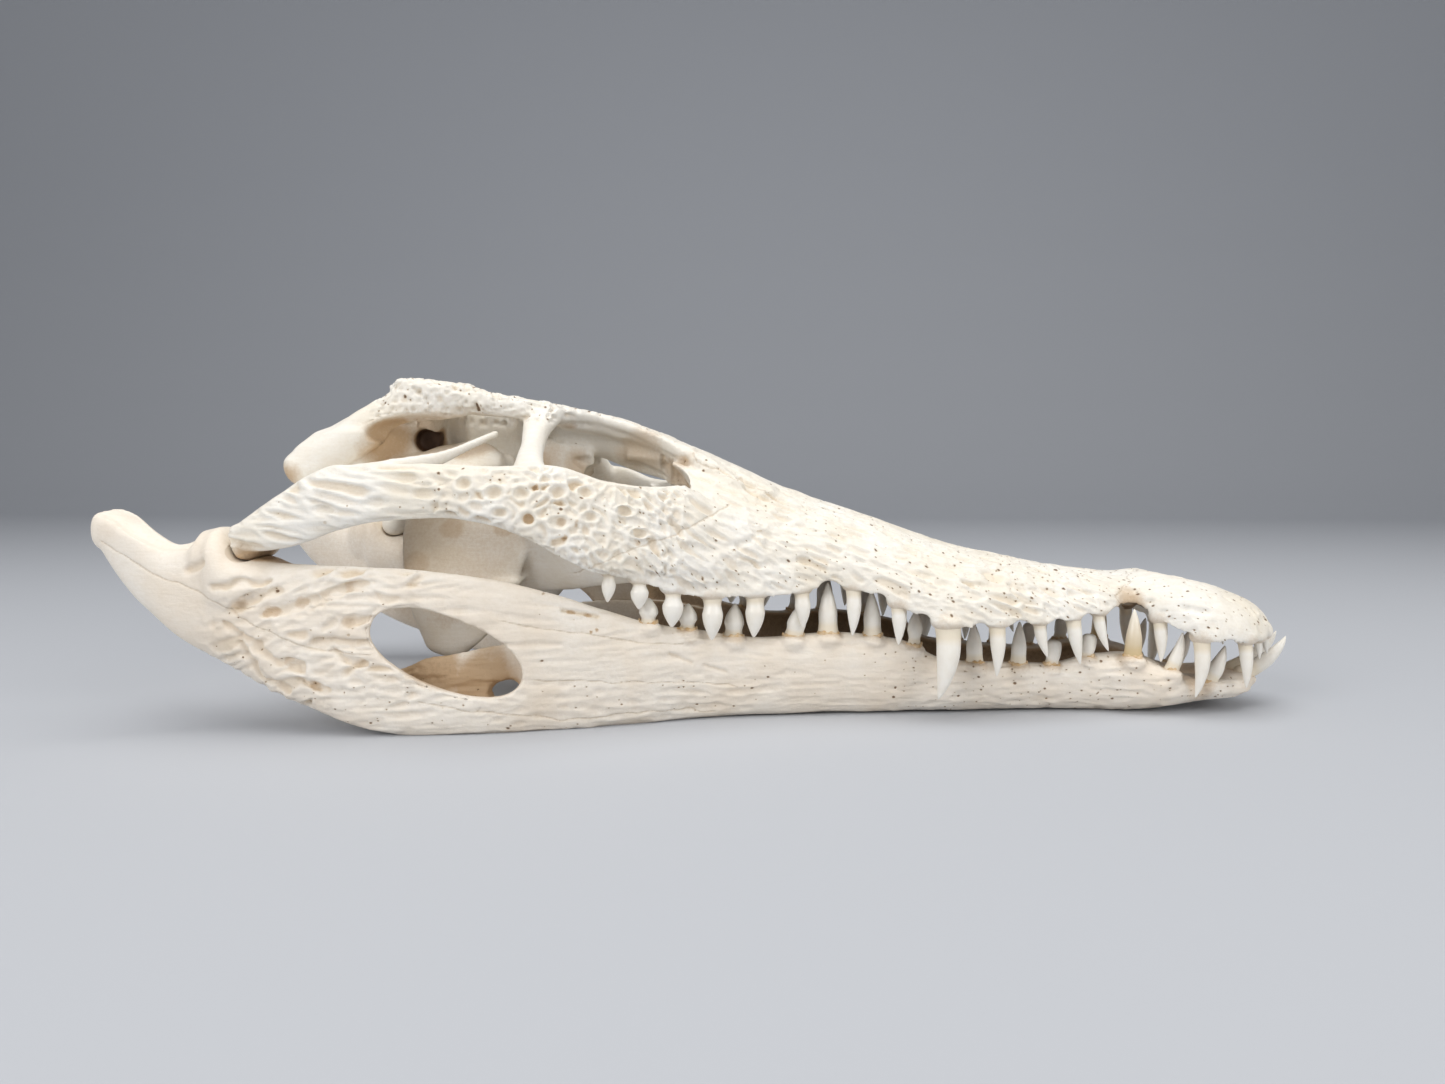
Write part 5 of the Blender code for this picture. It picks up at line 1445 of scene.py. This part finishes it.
def carve_jaw(points, normals):
    """The heights, marks and places of a half's points, as for the cranium."""
    x, y, z = points.T
    outward = normals[:, 1] * np.sign(y)
    skin = rise(outward, 0.0, 0.4)
    warp, twist = ripple(points, 9.0, 103), ripple(points, 4.0, 104)
    bend = z + 37 * (y < 0)
    relief = Relief(0.28 * ripple(points, 13.0, 105) * skin + 0.13 * ripple(points, 6.0, 106))

    # Behind and below the window: bold ridges with deep pits between, running along the jaw.
    slant = read_off(x, [(-160, 18), (-130, 8), (-100, 0), (-60, -2), (0, 0)])
    rough = skin * band(x, -152, -96, 14) * band(z + slant, 14, 56, 6)
    bent_x, bent_z = x + 1.6 * twist, z + 1.3 * ripple(points, 5.0, 151) + 0.5 * ripple(points, 2.2, 152)
    for path, tall in JAW_GROOVES:
        relief.sink(skin, 1.0, 1 - rise(path_distance(bent_x, bent_z, path), tall * 0.1, tall * 1.0))
    for path, tall, deep in JAW_SLITS:
        relief.sink(skin, deep, 1 - rise(path_distance(x, z, path), tall * 0.3, tall))
    rolling = bend + slant + 2.6 * ripple(points, 12.0, 109)
    ridges = cells((x + 3 * warp + twist) / 10.5, (rolling + 0.5 * twist) / 4.2, 111)
    relief.net(rough, ridges, (0.25, 1.6, 2), (0.05, 0.5))
    finer = cells((x + 2 * warp) / 4.8, (bend + slant + warp) / 2.4, 112)
    relief.net(rough, finer, (0, 0.6, 1.5), (0.08, 0.5))
    low_band = skin * band(x, -135, 10, 14) * band(z, 2, 15, 4)
    relief.holes(low_band, cells((x + warp) / 5.6, (bend + 0.8 * warp) / 3.2, 121), (0.6, 1.6), (0.15, 0.5))

    # The smooth plate over the window and the dentary's flank: long shallow grooves, and fine fibres.
    along = bend + 1.6 * ripple(points, (34.0, 10.0, 10.0), 119)
    smooth_side = skin * band(x, -122, 200, 12)
    grooves = cells((x + 3 * warp) / 21.0, (along + 0.3 * twist) / 2.9, 131)
    relief.net(smooth_side, grooves, (0, 0.6, 1.5), (0.03, 0.5))
    relief.net(smooth_side, cells((x + 3 * warp) / 12.0, along / 1.3, 132), (0, 0.26, 1), (0.05, 0.45))
    front = skin * band(x, 62, 190, 18)
    relief.holes(front, cells((x + 2 * warp) / 6.2, (bend + warp) / 3.0, 141), (0.5, 1.4), (0.1, 0.5))

    pores = np.clip(0.40 * front + 0.14 * low_band + 0.04 * skin * (x > -60) + 0.1 * rough, 0, 0.6)

    sway = 0.5 * ripple(points, 4.0, 171)
    gap = np.full(len(points), FAR)
    for path in JAW_SUTURES:
        gap = np.minimum(gap, path_distance(x + sway, z + sway, path) + FAR * (skin < 0.2))
    relief.height = relief.height - 0.16 * (1 - rise(gap, 0.1, 0.8))
    suture = 1 - np.minimum(gap, SUTURE_REACH) / SUTURE_REACH

    stain_and_shade = spots(points, JAW_STAINS_AND_SHADE, relief.hollow, warp, twist, 117)
    feet = [(lower_base(n), row[3]) for n, row in enumerate(LOWER_TEETH)]
    socket = from_sockets(points, feet, 0.9)
    stain_and_shade = np.maximum(stain_and_shade, 0.33 * (1 - rise(socket + 1.0 * warp + 0.4 * twist, 0.2, 2.3)))
    # Painted shade: the inner face of each half is darkened, most from the back of the dentary forward and
    # above its foot.
    painted_inner_shade = (1 - skin) * rise(-outward, 0.2, 0.7)
    stain_and_shade = np.maximum(stain_and_shade, painted_inner_shade * (0.2 + 0.6 * band(x, -30, 190, 12) * rise(z, 6, 14)))
    place = np.stack([x, bend, z], axis=1)
    return relief.height, np.stack([relief.hollow, pores, suture, stain_and_shade], axis=1), place


# The cuts that give exact faces come after the carving: the joint's socket, the chin's joint and the floor.
# The jaw's bone is darker and warmer than the cranium's: painted shade, warm as light bounced from the floor
# under the cranium.
jaw_bone_painted_shade = bone_finish("jaw_bone_painted_shade", (0.93, 0.87, 0.785), (0.87, 0.765, 0.64))
DENTARY_END = -27.0
exact = [
    roller_rings(SEAM_GAP, 23.0, False), box_rings((-152.6, 30, 60), (-139.6, 95, 75)),
    box_rings((100, -40, -20), (230, SEAM_GAP / 2, 60)), box_rings((-260, -20, -20), (260, 120, FLOOR_FLAT)),
]
right_jaw = mirrored(left_jaw, "right_jaw")
for made, side, which in ((left_jaw, 1, "left"), (right_jaw, -1, "right")):
    carve(made, carve_jaw)
    for n, rings in enumerate(exact):
        cut = closed_tubes("exact", [np.asarray(rings, float) * (1, side, 1)])
        marked_as_wall(cut, 1.0)
        boolean(made, "DIFFERENCE", cut)
        bpy.data.objects.remove(cut)
    ahead = closed_tubes("dentary_part", [box_rings((DENTARY_END, -120, -20), (260, 120, 90))])
    front = part_off(made, ahead, "dentary_" + which)
    made.name = made.data.name = "jaw_rear_" + which
    for piece in (front, made):
        fill_new_points(piece)
        shade_across_cuts(piece)
        dress(piece, jaw_bone_painted_shade, "mandible_" + which)


# The lower teeth
# The same enamel cones, pointing up and leaning out at the nose. The fourth, in the notch, is an old tooth,
# and the two behind it are worn to pegs.

OLD_TOOTH = 3
WORN_TEETH = (4, 5)

for side, which in ((1, "left"), (-1, "right")):
    teeth = []
    for n, (x, lean, length, half, swell) in enumerate(LOWER_TEETH):
        _, y, z = lower_base(n)
        long = length * (1 + 0.03 * side * math.sin(1.7 * n + 1))
        base, tip = (x, side * y, z), (x + lean, side * (y - 0.03 * long), z + 1 + long)
        bow = (0.10 * lean, side * 0.03 * long, -0.06 * abs(lean))
        age = 0.75 if n == OLD_TOOTH else 0.08
        root = 3.0 if n < 2 else 5.0
        teeth.append((*tooth_rings(base, tip, half, bud_share(swell), bow, root, n in WORN_TEETH), age))
    toothed("lower_teeth_" + which, teeth, tooth_enamel, "mandible_" + which)


# Dried gum
# Orange-tan shreds of dried gum cling round the feet of the lower teeth. Torn rings: a tube round each
# foot whose thickness and height wander.


def gum_rings(base, half, seed):
    """A ring round the foot, swept along an ellipse: thickness and height change by sines of the turn."""
    turn = np.linspace(0, 2 * math.pi, 41)[:-1]
    thick = 0.30 + 0.17 * np.sin(3 * turn + seed) * np.cos(5 * turn + 2 * seed)
    thick = thick + 0.06 * np.sin(11 * turn + seed)
    radius = half * 1.0 + 0.08 + 0.16 * np.sin(4 * turn + seed)
    lift = -0.2 + 0.3 * np.sin(2 * turn + 3 * seed) + 0.1 * np.sin(7 * turn + seed)
    round_it = 2 * math.pi * np.arange(10) / 10
    out = radius[:, None] + thick[:, None] * np.cos(round_it)
    up = lift[:, None] + 2.1 * thick[:, None] * np.sin(round_it)
    return np.stack(
        [base[0] + out * np.cos(turn)[:, None], base[1] + 0.9 * out * np.sin(turn)[:, None], base[2] + up],
        axis=2,
    )


def closed_loops(name, loops):
    """One closed ring-shaped mesh for each grid of points, joined up both ways."""
    points, faces, start = [], [], 0
    for rings in loops:
        count, round_it, _ = rings.shape
        i, j = np.meshgrid(np.arange(count), np.arange(round_it), indexing="ij")
        k, here, beyond = (j + 1) % round_it, i * round_it, (i + 1) % count * round_it
        quads = np.stack([here + j, beyond + j, beyond + k, here + k], -1)
        points.append(rings.reshape(-1, 3))
        faces.append(quads.reshape(-1, 4) + start)
        start += count * round_it
    return solid(name, points, np.vstack(faces).tolist())


gum = Finish("dried_gum")
place = gum.node("ShaderNodeTexCoord", output=3)
patches = gum.noise(place, 1.6, 4.0)
gum_colour = gum.mixed(patches.within(0.35, 0.65), (0.78, 0.62, 0.42), (0.58, 0.37, 0.17))
gum_bump = gum.node("ShaderNodeBump", {}, {"Strength": 0.6, "Distance": 0.0004, "Height": patches})
dried_gum = gum.finished({"Base Color": gum_colour, "Roughness": 0.6 - patches * 0.3, "Normal": gum_bump})
for side, which in ((1, "left"), (-1, "right")):
    loops = []
    for n in range(1, len(LOWER_TEETH)):
        x, y, z = lower_base(n)
        rings = gum_rings((x, y, z + 1.2), LOWER_TEETH[n][3], 1.3 * n + side)
        loops.append(rings if side > 0 else (rings * MIRROR)[:, ::-1])
    dress(closed_loops("dried_gum_" + which, loops), dried_gum, "mandible_" + which)


# The floor and the light
# A plain pale sheet that sweeps up into a backdrop, lit by large soft panels, as in a small studio.

FLOOR_REACH = 3.0
WALL_FOOT = 1.4
WALL_BEND = 0.8
bend = np.radians([15, 30, 45, 60, 75, 90])
across = np.linspace(-FLOOR_REACH, FLOOR_REACH, 9)
depth = [-FLOOR_REACH, -1.0, 0.5, WALL_FOOT, *(WALL_FOOT + WALL_BEND * np.sin(bend)), WALL_FOOT + WALL_BEND]
tall = [0, 0, 0, 0, *(WALL_BEND - WALL_BEND * np.cos(bend)), 2.6]
depth_grid, across_grid = np.meshgrid(depth, across, indexing="ij")
tall_grid, _ = np.meshgrid(tall, across, indexing="ij")
points = np.stack([across_grid, depth_grid, tall_grid], 2)
i, j = np.meshgrid(np.arange(len(depth) - 1), np.arange(len(across) - 1), indexing="ij")
here, beyond = i * len(across) + j, (i + 1) * len(across) + j
quads = np.stack([here, here + 1, beyond + 1, beyond], -1).reshape(-1, 4)
sheet = bpy.data.meshes.new("floor")
sheet.from_pydata(points.reshape(-1, 3).tolist(), [], quads.tolist())
sheet.polygons.foreach_set("use_smooth", np.ones(len(sheet.polygons), bool))
floor = linked("floor", sheet)
paper = Finish("floor_paper")
sheet.materials.append(
    paper.finished({"Base Color": (0.52, 0.54, 0.58, 1), "Roughness": 0.75, "Specular IOR Level": 0.2})
)


def panel(name, place, target, size, power, colour):
    """A square soft light at a place, facing a point."""
    lamp = bpy.data.lights.new(name, "AREA")
    lamp.energy = power
    lamp.color = colour
    lamp.size = size
    made = linked(name, lamp)
    made.location = place
    made.rotation_euler = (Vector(target) - Vector(place)).to_track_quat("-Z", "Y").to_euler()


panel("overhead", (0.1, -0.15, 1.3), (0, 0, 0.05), 1.2, 12.5, (1.0, 0.985, 0.955))
panel("front_left", (-1.0, -1.2, 0.8), (0, 0, 0.05), 0.8, 10.5, (0.99, 0.985, 0.98))
panel("front_right", (1.2, -1.0, 0.7), (0, 0, 0.05), 0.8, 7.5, (1.0, 0.98, 0.95))
world = bpy.data.worlds.new("studio")
bpy.context.scene.world = world
world.use_nodes = True
world.node_tree.nodes["Background"].inputs["Color"].default_value = (0.74, 0.75, 0.77, 1)
world.node_tree.nodes["Background"].inputs["Strength"].default_value = 0.38
bpy.context.scene.view_settings.view_transform = "Standard"


# The camera
# A wide lens close to the skull's right side and a little above it, looking slightly down and forward.

FOCAL_LENGTH_IN_PIXELS = 1061.0
PICTURE_WIDTH = 1445
lens = bpy.data.cameras.new("camera")
lens.sensor_width = 36.0
lens.lens = FOCAL_LENGTH_IN_PIXELS / PICTURE_WIDTH * lens.sensor_width
lens.clip_start = 0.01
camera = linked("camera", lens)
camera.location = (0.0307, -0.3898, 0.0846)
camera.rotation_euler = (math.radians(90 - 4.04), 0, math.radians(4.5))
bpy.context.scene.camera = camera
